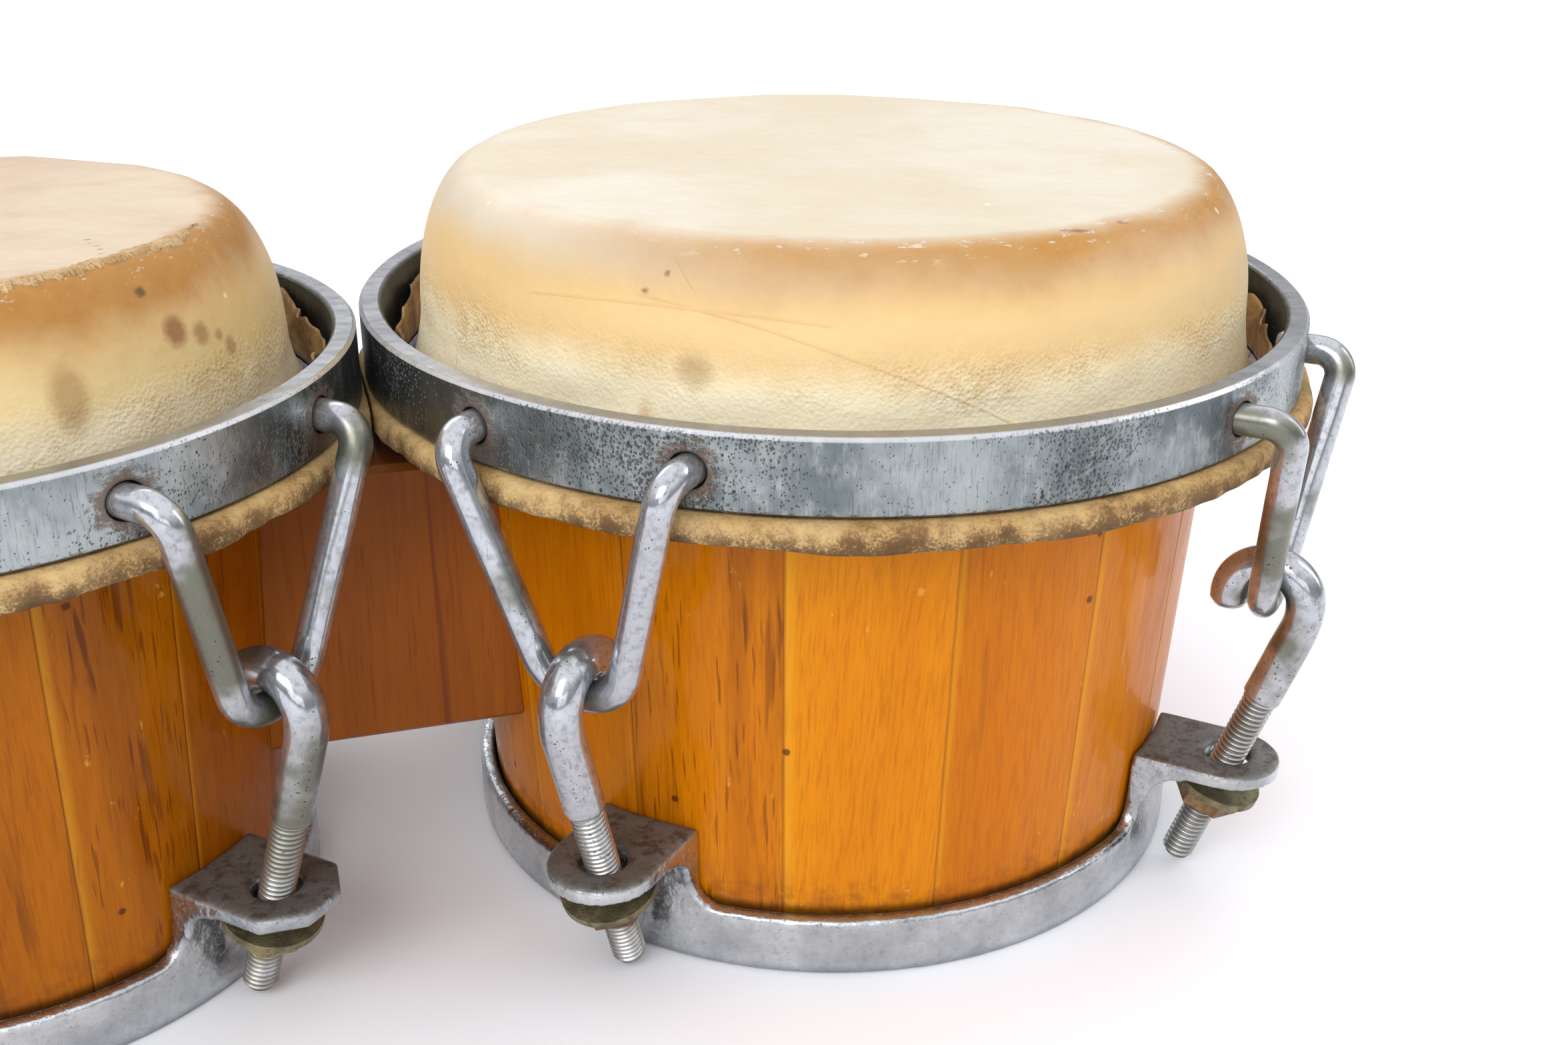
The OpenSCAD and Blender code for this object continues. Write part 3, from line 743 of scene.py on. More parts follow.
def rawhide(name, side, tones, marks):
    """The head: cream top, scorched brown shoulder, yellow side with a pebbled grain."""
    p = Paint(name)
    drum = DRUMS[side]
    place = p.place()
    radius, angle, z = p.polar(place)
    depth = drum["top"] - z
    flat = drum["r"] - FLAT_INSET
    big = p.noise(place, 0.016, 3, 0.5)
    mid = p.noise(place, 0.06, 4, 0.6)
    small = p.noise(place, 0.35, 4, 0.65)
    grain = p.noise(place, 1.15, 3, 0.6)
    p.colour = p.mix(p.smooth(big, 0.38, 0.62), tones["top_a"], tones["top_b"])
    p.over(p.smooth(mid, 0.45, 0.75), tones["top_c"], 0.35)
    uneven = (mid - 0.5) * 9.0
    down = depth + uneven
    p.over(p.smooth(down, 2.0, 13.0), tones["side"])
    # Painted shade: the side that faces +X, away from the key light, gets a darker tone, and its pale low
    # tone is held back there.
    east = p.smooth(p.math("COSINE", angle * (TAU / 360)), 0.02, 0.90)
    p.over(east * p.smooth(down, 8.0, 18.0), tones["east_shade"], 0.75)
    p.over(p.smooth(down, 20.0, 32.0) * p.span(east, 1.0, 0.45), tones["low"])
    facing = p.math("COSINE", (angle - tones["facing"]) * (TAU / 360))
    strength = p.smooth(facing, -0.5, 0.9) + 0.1
    inner_edge = p.smooth(radius + (mid - 0.5) * 6.0, flat - 3.0, flat + 5.0)
    faded = p.span(p.smooth(p.noise(place, 0.022, 3, 0.55), 0.35, 0.65), 0.78, 1.0)
    band = inner_edge * p.fall(down, 1.0, tones["band_depth"]) * (strength * faded)
    scorched = p.mix(small, tones["band_dark"], tones["band"])
    p.over(p.math("MINIMUM", band * tones["band_mix"], 1.0), scorched)
    side_part = p.smooth(depth, 15.0, 24.0)
    clean_foot = p.fall(down, 27.0, 35.0)
    patch = side_part * clean_foot * p.smooth(p.noise(place, 0.032, 3, 0.6), 0.4, 0.6)
    p.over(patch * (p.smooth(small, 0.35, 0.7) * tones["mottle"]), tones["stain"])
    pepper = p.smooth(grain, 0.62, 0.75) * (patch * 0.55)
    p.over(pepper, tones["speck"])
    drips = p.noise(p.join(angle * 0.35, depth * 0.03, 0.0), 1.0, 2)
    drip = p.smooth(drips, 0.62, 0.72) * p.smooth(depth, 30.0, 42.0)
    p.over(drip, tones["drip"], 0.5)
    scuff = p.noise(p.join(angle * 0.5, radius * 0.6, depth * 0.8), 1.0, 3, 0.6)
    near_edge = p.smooth(radius, flat - 1.5, flat + 1.0) * p.fall(depth, 1.5, 4.5)
    scuffed = p.smooth(scuff, 0.6, 0.66) * (near_edge * strength)
    p.over(scuffed, tones["top_b"], 0.6)
    nick = p.pits(place, 0.09, 0.22, 0.1) * p.fall(depth, 14.0, 20.0)
    p.over(nick, tones["low"], 0.45)
    for centre, radii, tone, amount in marks:
        wobble = p.vector("ADD", place, p.vector("MULTIPLY", p.noise(place, 0.9, 3), (1.2, 1.2, 1.2)))
        p.over(p.spot(wobble, centre, radii) * amount, tone)
    leather = p.cells(place, 1.15) + grain * 0.6
    pebble = leather * side_part * p.span(patch, 0.35, 1.0)
    fibre = p.noise(p.stretch(place, 1, 0.4), 0.9, 4, 0.7) * 0.25
    crease = crease_mask(p, angle, depth, tones["creases"])
    p.over(crease, tones["crease"], 0.16)
    height = pebble + fibre + (scuffed + crease) * 0.3
    gentle = p.bump(mid, 0.0009)
    return p.done(
        Roughness=p.span(small, 0.42, 0.6) - band * 0.08,
        Normal=p.bump(height, 0.00028, gentle),
        Specular_IOR_Level=0.35,
        Subsurface_Weight=0.12,
        Subsurface_Radius=(1.0, 0.55, 0.3),
        Subsurface_Scale=0.002,
    )


def crease_mask(p, angle, depth, creases):
    """Thin long creases: depth = start + slope * t + curve * t * t, t degrees past first, up to last."""
    total = 0.0
    for first, last, start, slope, curve in creases:
        t = angle - first
        line = t * slope + t * t * curve + start
        off = p.math("ABSOLUTE", depth - line)
        within = p.smooth(t, 0.0, 2.0) * p.fall(t, last - first - 3.0, float(last - first))
        total = p.most(p.fall(off, 0.15, 0.55) * within, total)
    return total


def rolled_rawhide(name, tones, seed):
    """Skin folded over the hoop: tan above, speckled brown below."""
    p = Paint(name)
    place = p.place(0.0, seed)
    z = p.split(place)[2]
    clump = p.noise(place, 0.05, 3, 0.6)
    small = p.noise(place, 0.45, 4, 0.7)
    grain = p.noise(place, 1.5, 4, 0.75)
    p.colour = p.mix(p.smooth(clump, 0.35, 0.65), tones["roll_a"], tones["roll_b"])
    p.over(p.smooth(small, 0.4, 0.75), tones["roll_c"], 0.5)
    low = p.fall(z + (clump - 0.5) * 16.0, 117.0, 124.5)
    stain = p.smooth(p.noise(place, 0.16, 4, 0.7), 0.4, 0.6) * p.span(low, 0.3, 1.0)
    p.over(stain, tones["roll_stain"], 0.55)
    speckle = p.smooth(grain + (low + stain) * 0.15, 0.56, 0.68)
    p.over(speckle * p.span(p.most(low, stain), 0.15, 0.75), tones["roll_dark"])
    # Darker along the underside of the roll: painted shade.
    under = p.fall(z, 116.6, 118.2)
    p.over(under, tones["roll_dark"], 0.5)
    return p.done(
        Roughness=p.span(small, 0.65, 0.9),
        Normal=p.bump(grain + small, 0.0005),
        Specular_IOR_Level=0.3,
    )


def torn_rawhide(name):
    """Pale inner layer of the skin along a tear."""
    p = Paint(name)
    place = p.place()
    cloud = p.noise(place, 0.16, 3, 0.6)
    grain = p.noise(place, 1.6, 4, 0.75)
    p.colour = p.mix(p.smooth(cloud, 0.35, 0.65), rgb(188, 150, 100), rgb(214, 184, 138))
    p.over(p.smooth(grain, 0.52, 0.68), rgb(112, 74, 42), 0.7)
    dark = p.spot(place, round_point(72.0, -44.0, 166.0), (3.0, 3.0, 3.0))
    p.over(dark, rgb(78, 52, 32), 0.6)
    return p.done(Roughness=p.span(grain, 0.6, 0.9), Normal=p.bump(grain, 0.0005))


def spare_rawhide(name, seed):
    """The brown, crumpled end of the skin inside the rim."""
    p = Paint(name)
    place = p.place(0.0, seed)
    cloud = p.noise(place, 0.11, 4, 0.65)
    grain = p.noise(place, 0.9, 4, 0.75)
    p.colour = p.mix(p.smooth(cloud, 0.35, 0.65), rgb(122, 88, 52), rgb(186, 148, 96))
    p.over(p.smooth(grain, 0.52, 0.72), rgb(72, 50, 32), 0.6)
    return p.done(Roughness=p.span(cloud, 0.6, 0.85), Normal=p.bump(grain, 0.0006))


# ---- pieces


def shell_radius(side, z):
    """The shell's outer radius at a height."""
    return DRUMS[side]["r"] - SHELL_INSET + z * math.tan(math.radians(SHELL_LEAN))


def stave_angles():
    """Columns round the shell, close together at each glue line."""
    offsets = np.array([0.0, 0.12, 0.24, 0.6, 1.6, 3.4, 5.2, 7.0, 8.8, 10.6])
    half = np.concatenate([-offsets[:0:-1], offsets])
    joints = np.arange(STAVES) * STAVE_ANGLE + STAVE_TURN + STAVE_ANGLE / 2
    return np.radians(np.sort((joints[:, None] + half[None, :]).ravel() % 360))


def stave_groove(angles):
    """How deep the lacquer sinks at the glue lines: 0 to 1."""
    turn = np.degrees(angles) - STAVE_TURN - STAVE_ANGLE / 2
    off = np.abs((turn + STAVE_ANGLE / 2) % STAVE_ANGLE - STAVE_ANGLE / 2)
    return np.exp(-((off / 0.16) ** 2))


def make_shell(side):
    """Turned shell with a rounded bearing edge and glue lines."""
    low, flat = DRUMS[side]["top"] - SHOULDER_H, DRUMS[side]["r"] - FLAT_INSET
    edge_z = low + BEARING_Z
    outer = [(shell_radius(side, z), z) for z in np.linspace(SHELL_FOOT + 0.6, edge_z, 60)]
    turn = np.radians(np.linspace(62, 2, 16))
    crown = [(flat + BEARING_W * math.sin(t), low + BEARING_H * math.cos(t)) for t in turn]
    inner = [(shell_radius(side, z) - SHELL_WALL, z) for z in np.linspace(edge_z, SHELL_FOOT, 30)]
    foot = [(shell_radius(side, SHELL_FOOT) - 0.6, SHELL_FOOT)]
    profile = np.array(outer + crown + inner + foot)
    outside = len(outer) + len(crown)

    def move(r, z, a):
        sink = stave_groove(a) * 0.16
        sway = waves(a, 11, 2, 7, 0.10) - 0.12
        on_outer = (np.arange(len(profile)) < outside)[:, None]
        return r - on_outer * (sink - np.minimum(sway, 0)), z

    points, faces = lathe(profile, stave_angles(), move)
    shell = add_piece(side + "_drum_shell", points, faces, "base", DRUMS[side]["x"])
    shell.data.materials.append(lacquered_staves(side + "_lacquer", side))
    shell.data.materials.append(bare_pine(side + "_bare_pine"))
    columns = len(stave_angles())
    rows = np.arange(len(shell.data.polygons)) // columns
    raw = (rows >= outside).astype(np.int32)
    shell.data.polygons.foreach_set("material_index", raw)
    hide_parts(side + "_shell")


def head_profile(side):
    """Outer line of the head from the middle out and down, then back up its underside."""
    drum = DRUMS[side]
    top, flat = drum["top"], drum["r"] - FLAT_INSET
    low = top - SHOULDER_H
    line = [(r, top) for r in np.linspace(0.4, flat, 60)]
    for t in np.linspace(0, math.pi / 2, 44)[1:]:
        line.append((flat + SHOULDER_W * math.sin(t), low + SHOULDER_H * math.cos(t)))
    for t in np.linspace(0, 1, 22)[1:]:
        line.append((flat + SHOULDER_W + SIDE_SPLAY * t ** 1.6, low - (low - RIM_BOTTOM) * t))
    line = np.array(line)
    step = np.gradient(line, axis=0)
    step /= np.linalg.norm(step, axis=1)[:, None]
    under = line - np.stack([-step[:, 1], step[:, 0]], 1) * SKIN_T
    under = under[::-3]
    under[:, 0] = np.maximum(under[:, 0], 0.4)
    return np.vstack([line, under])


def make_head(side, material, columns, seed):
    """The stretched skin, a little uneven as real rawhide is."""
    profile = head_profile(side)
    flat = DRUMS[side]["r"] - FLAT_INSET

    def move(r, z, a):
        share = np.clip((r - flat * 0.55) / (flat * 0.45), 0, 1)
        uneven = waves(a, seed, 2, 9, 0.35) + waves(a, seed + 1, 10, 26, 0.08)
        depth = DRUMS[side]["top"] - z
        ripple = waves(a + depth * 0.02, seed + 2, 5, 18, 0.22) * np.clip(depth / 30, 0, 1)
        dz = -np.abs(uneven) * share * np.clip(1 - depth / 30, 0, 1) * 0.8
        return r + (np.minimum(uneven + ripple, 0.3) - 0.3) * share * np.clip(depth / 12, 0, 1), z + dz

    points, faces = lathe(profile, even_angles(columns), move, closed=False)
    head = add_piece(side + "_head", points, faces, side + "_head", DRUMS[side]["x"])
    head.data.materials.append(material)
    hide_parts(side + "_skin")
    return head


def flat_at_mid(side, points):
    """Keeps a drum's points on its own side of the plane between the drums."""
    limit = MID_X - DRUMS[side]["x"]
    if side == "right":
        points[:, 0] = np.maximum(points[:, 0], limit + 0.3)
    else:
        points[:, 0] = np.minimum(points[:, 0], limit - 0.3)
    return points


def make_roll(side, material, seed):
    """Skin rolled round the flesh hoop: a lumpy ring under the rim, gathered into small pleats."""
    r0 = DRUMS[side]["r"] - 0.35
    mid_z, half_r, half_z = 120.2, 3.3, 3.2
    turn = even_angles(28)
    squircle = (np.abs(np.cos(turn)) ** 3 + np.abs(np.sin(turn)) ** 3) ** (-1 / 3)
    across = r0 + half_r * np.cos(turn) * squircle * 0.96
    profile = np.stack([across, mid_z + half_z * np.sin(turn) * squircle], 1)
    profile[:, 1] = np.minimum(profile[:, 1], RIM_BOTTOM - 0.15)

    def move(r, z, a):
        out = (r - r0) / half_r
        low = np.clip((mid_z + 1 - z) / 4, 0, 1)
        lump = waves(a, seed, 5, 40, 0.42) + waves(a, seed + 1, 41, 110, 0.22)
        sag = waves(a, seed + 2, 3, 24, 0.45)
        pleat = np.maximum(waves(a, seed + 3, 12, 60, 0.9) - 0.9, 0)
        new_r = r + np.minimum(lump, 0.35) * np.clip(out, 0, 1) - pleat * np.clip(out, 0, 1)
        return new_r, z + np.maximum(sag, -0.35) * low

    points, faces = lathe(profile, even_angles(720), move)
    points = flat_at_mid(side, points)
    roll = add_piece(side + "_skin_roll", points, faces, side + "_head", DRUMS[side]["x"])
    roll.data.materials.append(material)
    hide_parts(side + "_skin")


def make_spare(side, material, seed):
    """Crumpled end of the skin, standing between the head's side and the rim."""
    r0 = DRUMS[side]["r"]
    angles = even_angles(540)
    rows = np.linspace(0, 1, 12)
    a = np.repeat(angles[None, :], len(rows), 0)
    t = np.repeat(rows[:, None], len(angles), 1)
    fold = waves(a, seed, 9, 40, 1.1) + waves(a + t * 0.05, seed + 1, 41, 90, 0.35)
    reach = 10.5 + waves(a, seed + 2, 3, 22, 2.2) + waves(a, seed + 3, 23, 80, 0.7)
    reach = np.clip(reach, 4.0, 14.5)
    curl = waves(a, seed + 4, 4, 20, 0.9) * t ** 2
    middle = np.clip(r0 - 8.2 + fold * np.clip(t * 1.6, 0.1, 1) + curl, r0 - 10.4, r0 - 6.4)
    z = RIM_BOTTOM - 0.4 + reach * t + waves(a, seed + 5, 20, 60, 0.3) * t
    half = 0.55 * (1 - 0.5 * t)
    outer = np.stack([(middle + half) * np.cos(a), (middle + half) * np.sin(a), z], -1)
    inner = np.stack([(middle - half) * np.cos(a), (middle - half) * np.sin(a), z], -1)
    grid = np.concatenate([outer, inner[::-1]], 0)
    faces = grid_faces(len(grid), len(angles), True, True)
    points = grid.reshape(-1, 3)
    spare = add_piece(side + "_spare_skin", points, faces, side + "_head", DRUMS[side]["x"])
    spare.data.materials.append(material)
    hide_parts(side + "_skin")


def make_fray(material):
    """Torn upper layer of the small head, standing up along the front of its shoulder."""
    drum = DRUMS["left"]
    flat = drum["r"] - FLAT_INSET
    angles = np.radians(np.arange(-128, -18, 0.16))
    rng = np.random.default_rng(5)
    count = len(angles)
    along = np.linspace(0, 1, count)
    taper = np.clip(np.minimum(along, 1 - along) * 9, 0.08, 1)
    coarse = np.convolve(rng.normal(size=count + 24), np.hanning(25) / 5, "valid")
    ragged = np.convolve(rng.normal(size=count + 4), np.hanning(5) / 1.6, "valid")
    centre = flat + 1.4 + coarse * 0.55
    width = (1.2 + 0.5 * np.abs(coarse) + 0.35 * ragged) * taper
    height = (0.55 + 0.22 * ragged + 0.2 * np.abs(coarse)) * taper
    across = np.array([-1.6, -1.0, -0.55, -0.2, 0.15, 0.5, 0.85, 1.1])
    lift = np.array([-0.6, 0.25, 0.75, 1.0, 0.95, 0.8, 0.2, -0.9])
    rows = []
    for u, h in zip(across, lift):
        jitter = rng.normal(size=count) * 0.10
        r = centre + u * width + jitter
        t = np.clip((r - flat) / SHOULDER_W, 0, 0.99)
        skin_z = drum["top"] - SHOULDER_H + SHOULDER_H * np.sqrt(1 - t * t)
        z = skin_z + h * np.maximum(height, 0.1) + jitter * 0.6 - 0.05
        rows.append(np.stack([r * np.cos(angles), r * np.sin(angles), np.minimum(z, drum["top"] + 0.4)], -1))
    grid = np.array(rows).transpose(1, 0, 2)
    faces = grid_faces(count, len(across), False, True)
    points, faces = capped(grid.reshape(-1, 3), faces, count, len(across))
    fray = add_piece("left_frayed_skin", points, faces, "left_head", drum["x"])
    fray.data.materials.append(material)


def make_bail(side, index, material):
    """Bent rod that hangs from two rim holes."""
    r = DRUMS[side]["r"]
    first, second = LUGS[side]["legs"][index]
    pegs = [math.sqrt((r - RIM_WALL) ** 2 - y * y) - 1.3 for y in (first, second)]
    corners = [
        (pegs[0], first, HOLE_Z),
        (r + BAIL_OUT, first, HOLE_Z),
        (r + EYE_OUT, -BAIL_FOOT_HALF, BAIL_FOOT_Z),
        (r + EYE_OUT, BAIL_FOOT_HALF, BAIL_FOOT_Z),
        (r + BAIL_OUT, second, HOLE_Z),
        (pegs[1], second, HOLE_Z),
    ]
    path = rounded_path(corners, BAIL_BENDS, 1.2)
    total = np.linalg.norm(np.diff(path, axis=0), axis=1).sum()
    rng = np.random.default_rng(40 + index)
    phase = rng.uniform(0, TAU, 4)

    def radius_at(s, theta):
        end = min(s, total - s)
        nose = 0.82 + 0.18 * min(1.0, end / 0.8)
        dent = 0.022 * np.cos(2 * theta + phase[0] + s * 0.05)
        dent = dent + 0.012 * np.cos(3 * theta + phase[1] + s * 0.11)
        slow = 0.010 * math.cos(s * 0.21 + phase[2])
        return BAIL_R * nose * (1 + np.minimum(dent + slow, 0.0))

    points, faces = tube(path, 32, radius_at, (0, 0, 1))
    name = side + "_bail_" + str(index + 1)
    bail = add_piece(name + "_rod", points, faces, name, matrix=lug_matrix(side, index))
    bail.data.materials.append(material)
    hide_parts(name)


def hook_path(side):
    """Corners of a hook bolt's centre line, in its lug's frame, with X measured from the lug's hole."""
    lean = math.tan(math.radians(HOOK_TILT))
    middle = LUGS[side]["plate"] - PLATE_T / 2
    top_z = BAIL_FOOT_Z + BAIL_R + HOOK_GAP + SHANK_R
    outer = LUGS[side]["hole"] + EYE_OUT + CROWN_R
    inner = outer - 2 * CROWN_R
    return [
        ((HOOK_FOOT_Z - middle) * lean, 0, HOOK_FOOT_Z),
        (outer, 0, middle + outer / lean),
        (outer, 0, top_z),
        (inner, 0, top_z),
        (inner, 0, HOOK_END_Z),
    ]


def make_hook(side, index, material):
    """Hook bolt: threaded shank below, and a crown that takes the bail."""
    corners = hook_path(side)
    path = rounded_path(corners, (HOOK_BEND, CROWN_R, CROWN_R), 1.0)
    start = np.array(corners[0], float)
    bolt_axis = (path[1] - path[0]) / np.linalg.norm(path[1] - path[0])
    fine = start + bolt_axis * np.arange(0, THREAD_END + 2, PITCH / 9)[:, None]
    past = np.linalg.norm(path - start, axis=1)
    later = path[past > THREAD_END + 2.6]
    path = np.vstack([fine, later])
    total = np.linalg.norm(np.diff(path, axis=0), axis=1).sum()
    rng = np.random.default_rng(60 + index)
    phase = rng.uniform(0, TAU, 4)

    def radius_at(s, theta):
        cycle = (s / PITCH - theta / TAU) % 1.0
        ridge = np.clip(np.abs(cycle - 0.5) * 2.5 - 0.12, 0, 1)
        run_out = min(1.0, max(0.0, (THREAD_END - s) / 2.0))
        lead_in = min(1.0, s / 1.2)
        threaded = THREAD_R - 0.78 * ridge - 0.9 * (1 - lead_in)
        end = total - s
        nose = 0.80 + 0.20 * min(1.0, end / 1.0)
        dent = 0.022 * np.cos(2 * theta + phase[0] + s * 0.04)
        dent = dent + 0.018 * np.cos(4 * theta + phase[1] + s * 0.12)
        plain = SHANK_R * nose * (1 + np.minimum(dent + 0.012 * math.cos(s * 0.3 + phase[2]), 0.0))
        return threaded * run_out + plain * (1 - run_out)

    points, faces = tube(path, 36, radius_at)
    tilt = Matrix.Rotation(math.radians(HOOK_TILT), 4, "Y")
    foot = Vector((DRUMS[side]["r"] - LUGS[side]["hole"], 0, 0)) * MM + Vector(corners[0]) * MM
    local = np.asarray((points - start) @ np.array(tilt.to_3x3()))
    name = side + "_hook_" + str(index + 1)
    matrix = lug_matrix(side, index) @ Matrix.Translation(foot) @ tilt
    hook = add_piece(name + "_bolt", local, faces, name, matrix=matrix)
    hook.data.materials.append(material)
    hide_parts(name)


def make_base_ring(side, material):
    """The CAD casting with its edges worn round."""
    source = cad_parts[side + "_base_ring"]
    mesh = source.data.copy()
    cast = add_object(side + "_base_casting", mesh)
    soft = bmesh.new()
    soft.from_mesh(mesh)
    bmesh.ops.remove_doubles(soft, verts=soft.verts, dist=2e-6)
    soft.to_mesh(mesh)
    soft.free()
    remesh = cast.modifiers.new("remesh", "REMESH")
    remesh.mode = "VOXEL"
    remesh.voxel_size = 0.0008
    relax = cast.modifiers.new("relax", "SMOOTH")
    relax.factor = 0.5
    relax.iterations = 5
    graph = bpy.context.evaluated_depsgraph_get()
    cast.data = bpy.data.meshes.new_from_object(cast.evaluated_get(graph))
    cast.modifiers.clear()
    cast.data.polygons.foreach_set("use_smooth", [True] * len(cast.data.polygons))
    cast.data.materials.clear()
    cast.data.materials.append(material)
    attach(cast, "base")
    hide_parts(side + "_base_ring")


def repaint(node, material):
    """Gives a CAD node a better material."""
    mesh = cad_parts[node].data
    mesh.materials.clear()
    mesh.materials.append(material)


# ---- the drums

RIGHT_TONES = {
    "top_a": rgb(206, 194, 170),
    "top_b": rgb(212, 204, 187),
    "top_c": rgb(204, 187, 158),
    "side": rgb(221, 189, 134),
    # Painted shade tone for the head's side that faces +X.
    "east_shade": rgb(182, 156, 108),
    "low": rgb(249, 238, 204),
    "band": rgb(182, 134, 64),
    "band_dark": rgb(166, 116, 48),
    "band_mix": 1.10,
    "band_depth": 17.0,
    "stain": rgb(204, 172, 114),
    "speck": rgb(138, 104, 60),
    "drip": rgb(204, 150, 84),
    "crease": rgb(196, 146, 84),
    "mottle": 0.62,
    "facing": -52.0,
    "creases": (
        (-134, -84, 11.0, 0.10, 0.0092),
        (-150, -108, 15.0, -0.22, 0.0050),
        (-80, -75, 2.0, 1.60, 0.0),
        (-130, -124, 2.0, 1.7, 0.0),
    ),
    "roll_a": rgb(194, 157, 101),
    "roll_b": rgb(216, 184, 128),
    "roll_c": rgb(158, 116, 64),
    "roll_stain": rgb(132, 92, 48),
    "roll_dark": rgb(74, 50, 32),
}
LEFT_TONES = dict(
    RIGHT_TONES,
    top_a=rgb(192, 168, 144),
    top_b=rgb(200, 182, 156),
    # Painted shade tone for the head's side that faces +X.
    top_c=rgb(182, 148, 122),
    side=rgb(228, 204, 150),
    east_shade=rgb(184, 160, 108),
    low=rgb(253, 247, 222),
    band=rgb(176, 128, 56),
    band_dark=rgb(150, 100, 36),
    band_mix=1.20,
    band_depth=22.0,
    stain=rgb(190, 160, 104),
    speck=rgb(98, 66, 36),
    drip=rgb(176, 120, 62),
    mottle=0.7,
    facing=-60.0,
    creases=((-140, -100, 20.0, 0.1, 0.002),),
)
DARK_RED = rgb(92, 30, 18)
BROWN = rgb(124, 78, 38)
STEEL = (rgb(150, 150, 152), rgb(112, 112, 114), rgb(92, 70, 52))

# The nuts' two plating tones, their stain and how metallic they are: two have aged in their own way.
NUT_LOOKS = {
    "right": ((140, 128, 104), (104, 92, 72), (84, 50, 34), 0.5),
    "left": ((158, 148, 96), (120, 110, 72), (84, 62, 36), 0.6),
    ("right", 0): ((150, 122, 84), (112, 82, 52), (92, 54, 34), 0.4),
    ("right", 3): ((118, 66, 50), (88, 44, 34), (60, 30, 24), 0.25),
}


def right_marks():
    """Marks on the large head: red-brown chips, a broken dark dash, a drip, a blot and two scuffs."""
    return [
        (round_point(96.4, -132.0, 161.6), (1.1, 1.1, 0.8), DARK_RED, 0.95),
        (round_point(94.4, -129.5, 165.2), (0.8, 0.8, 0.8), DARK_RED, 0.7),
        (round_point(87.6, -76.0, 171.0), (4.5, 0.5, 0.5), rgb(120, 62, 60), 0.75),
        (round_point(87.9, -67.5, 170.9), (2.4, 0.5, 0.5), rgb(120, 62, 60), 0.7),
        (round_point(100.7, -131.0, 133.0), (2.2, 2.2, 8.0), rgb(200, 146, 80), 0.6),
        (round_point(100.4, -125.0, 147.5), (4.0, 4.0, 3.5), rgb(158, 124, 74), 0.5),
        (round_point(84.0, -118.0, 171.0), (4.0, 1.0, 0.6), rgb(196, 150, 110), 0.35),
        (round_point(60.0, 115.0, 171.0), (3.5, 1.0, 0.6), rgb(196, 150, 110), 0.35),
    ]


def left_marks():
    """Marks on the small head: brown spots on its side, one at the tear, and a row of dots on top."""
    found = [
        (round_point(77.4, -41.0, 154.7), (2.6, 2.6, 3.0), BROWN, 0.8),
        (round_point(78.1, -36.5, 152.5), (2.0, 2.0, 2.2), BROWN, 0.6),
        (round_point(79.0, -31.0, 147.8), (1.7, 1.7, 2.0), BROWN, 0.55),
        (round_point(79.0, -33.0, 151.0), (1.2, 1.2, 1.2), BROWN, 0.5),
        (round_point(79.0, -60.0, 148.6), (3.5, 3.5, 6.0), rgb(140, 100, 56), 0.55),
        (round_point(74.0, -44.0, 163.0), (1.3, 1.3, 1.0), rgb(70, 44, 26), 0.8),
    ]
    dots = 6
    for k in range(dots):
        t = k / (dots - 1)
        radius, degrees = 52 + 13 * t, -34 - 10 * t
        found.append((round_point(radius, degrees, 168.0), (0.75, 0.5, 0.6), rgb(74, 36, 30), 0.85))
    return found


def make_drum(side, tones, marks, columns, seed):
    """All the pieces of one drum."""
    make_shell(side)
    make_base_ring(side, plated_cast(side + "_cast", side))
    repaint(side + "_rim", plated_rim(side + "_rim_plate", side))
    skin = rawhide(side + "_rawhide", side, tones, marks)
    make_head(side, skin, columns, seed)
    make_roll(side, rolled_rawhide(side + "_roll", tones, (seed, 7, 0)), seed + 5)
    make_spare(side, spare_rawhide(side + "_spare", (seed, 3, 9)), seed + 11)
    zinc = worn_steel(side + "_zinc", rgb(146, 138, 104), rgb(108, 100, 76), rgb(74, 60, 40), (seed, 0, 0))
    steel = worn_steel(side + "_inner_steel", *STEEL)
    repaint(side + "_lug_washers", zinc)
    repaint(side + "_flesh_hoop", steel)
    for index in range(4):
        shift = (31.0 * index + seed, 17.0 * index, 9.0)
        worn = 0.12 if side == "left" else 0.06
        number = str(index + 1)
        bail_paint = bright_rod(side + "_bail_chrome_" + number, shift, worn)[0].material
        make_bail(side, index, bail_paint)
        make_hook(side, index, threaded_rod(side + "_hook_chrome_" + number, shift, worn))
        repaint(side + "_nut_" + number, nut_paint(side, index))


def nut_paint(side, index):
    """The paint of one nut."""
    light, dark, stain, metal = NUT_LOOKS.get((side, index), NUT_LOOKS[side])
    name = side + "_nut_steel_" + str(index + 1)
    return worn_steel(name, rgb(*light), rgb(*dark), rgb(*stain), (index * 13.0, 5.0, 1.0), metal)


def make_floor():
    """A plain pale floor, far wider than the view."""
    size = 9.0
    points = [(-size, -size, 0), (size, -size, 0), (size, size, 0), (-size, size, 0)]
    mesh = bpy.data.meshes.new("floor")
    mesh.from_pydata(points, [], [(0, 1, 2, 3)])
    floor = add_object("floor", mesh)
    p = Paint("floor_white")
    p.set(Base_Color=(0.87, 0.88, 0.91, 1), Roughness=0.55, Specular_IOR_Level=0.2)
    mesh.materials.append(p.material)


def make_light(name, at, aim, width, height, power):
    """A softbox."""
    lamp = bpy.data.lights.new(name, "AREA")
    lamp.shape = "RECTANGLE"
    lamp.size, lamp.size_y = width, height
    lamp.energy = power
    obj = add_object(name, lamp)
    obj.location = at
    obj.rotation_euler = (Vector(aim) - Vector(at)).to_track_quat("-Z", "Y").to_euler()


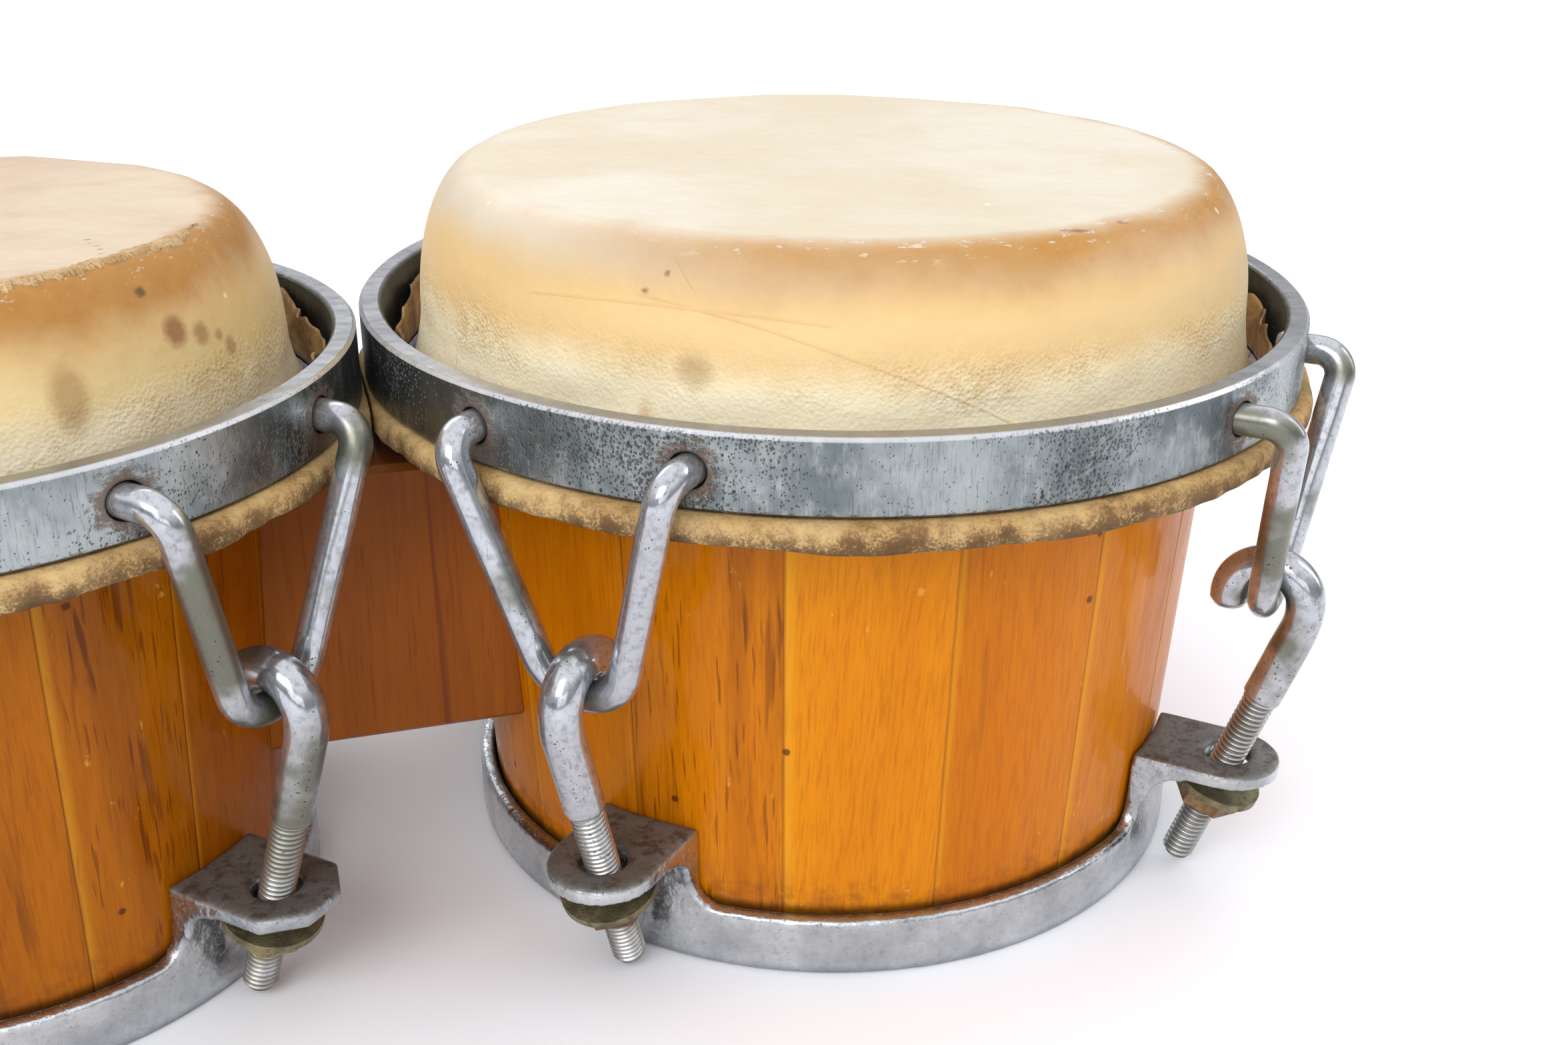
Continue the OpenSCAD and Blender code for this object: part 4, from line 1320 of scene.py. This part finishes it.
def make_world():
    """White overhead, darker towards the horizon, so that the chrome has something to reflect."""
    world = bpy.data.worlds.new("studio")
    bpy.context.scene.world = world
    world.use_nodes = True
    tree = world.node_tree
    back = tree.nodes["Background"]
    place = tree.nodes.new("ShaderNodeTexCoord")
    split = tree.nodes.new("ShaderNodeSeparateXYZ")
    ramp = tree.nodes.new("ShaderNodeValToRGB")
    tree.links.new(place.outputs["Generated"], split.inputs[0])
    tree.links.new(split.outputs["Z"], ramp.inputs[0])
    tree.links.new(ramp.outputs[0], back.inputs["Color"])
    stops = ramp.color_ramp.elements
    stops[0].position, stops[0].color = 0.0, (0.15, 0.155, 0.17, 1)
    stops[1].position, stops[1].color = 0.60, (1.0, 1.0, 1.02, 1)
    middle = stops.new(0.25)
    middle.color = (0.30, 0.305, 0.33, 1)
    back.inputs["Strength"].default_value = 1.35


def make_camera():
    """The photograph's camera."""
    data = bpy.data.cameras.new("camera")
    data.lens = CAMERA_LENS
    data.sensor_width = 36
    data.clip_start, data.clip_end = 0.01, 50
    camera = add_object("camera", data)
    back = Vector(CAMERA_BACK).normalized()
    right = (-back).cross(Vector((0, 0, 1))).normalized()
    up = right.cross(-back)
    roll = math.radians(CAMERA_ROLL)
    x = right * math.cos(roll) + up * math.sin(roll)
    y = up * math.cos(roll) - right * math.sin(roll)
    matrix = Matrix((x, y, back)).transposed().to_4x4()
    matrix.translation = Vector(CAMERA_AT)
    camera.matrix_world = matrix
    bpy.context.scene.camera = camera


make_camera()
make_world()
make_floor()
make_light("key", (-0.95, -1.25, 1.2), (0, 0, 0.1), 1.3, 0.9, 15)
make_light("strip", (1.25, -0.15, 0.62), (0.1, 0, 0.08), 0.35, 0.9, 3)
make_light("back", (-0.4, 1.5, 1.3), (0, 0, 0.1), 1.4, 0.8, 5)
make_light("fill", (-0.35, -1.7, 0.45), (0, 0, 0.03), 1.4, 0.5, 3)
bpy.context.scene.view_settings.view_transform = "Standard"

make_drum("right", RIGHT_TONES, right_marks(), 420, 3)
make_drum("left", LEFT_TONES, left_marks(), 420, 21)
make_fray(torn_rawhide("fray_skin"))
repaint("centre_block", block_wood("block_wood"))
bolt_steel = worn_steel("bolt_steel", *STEEL)
for node in ("block_bolts", "block_washers", "block_nuts"):
    repaint(node, bolt_steel)
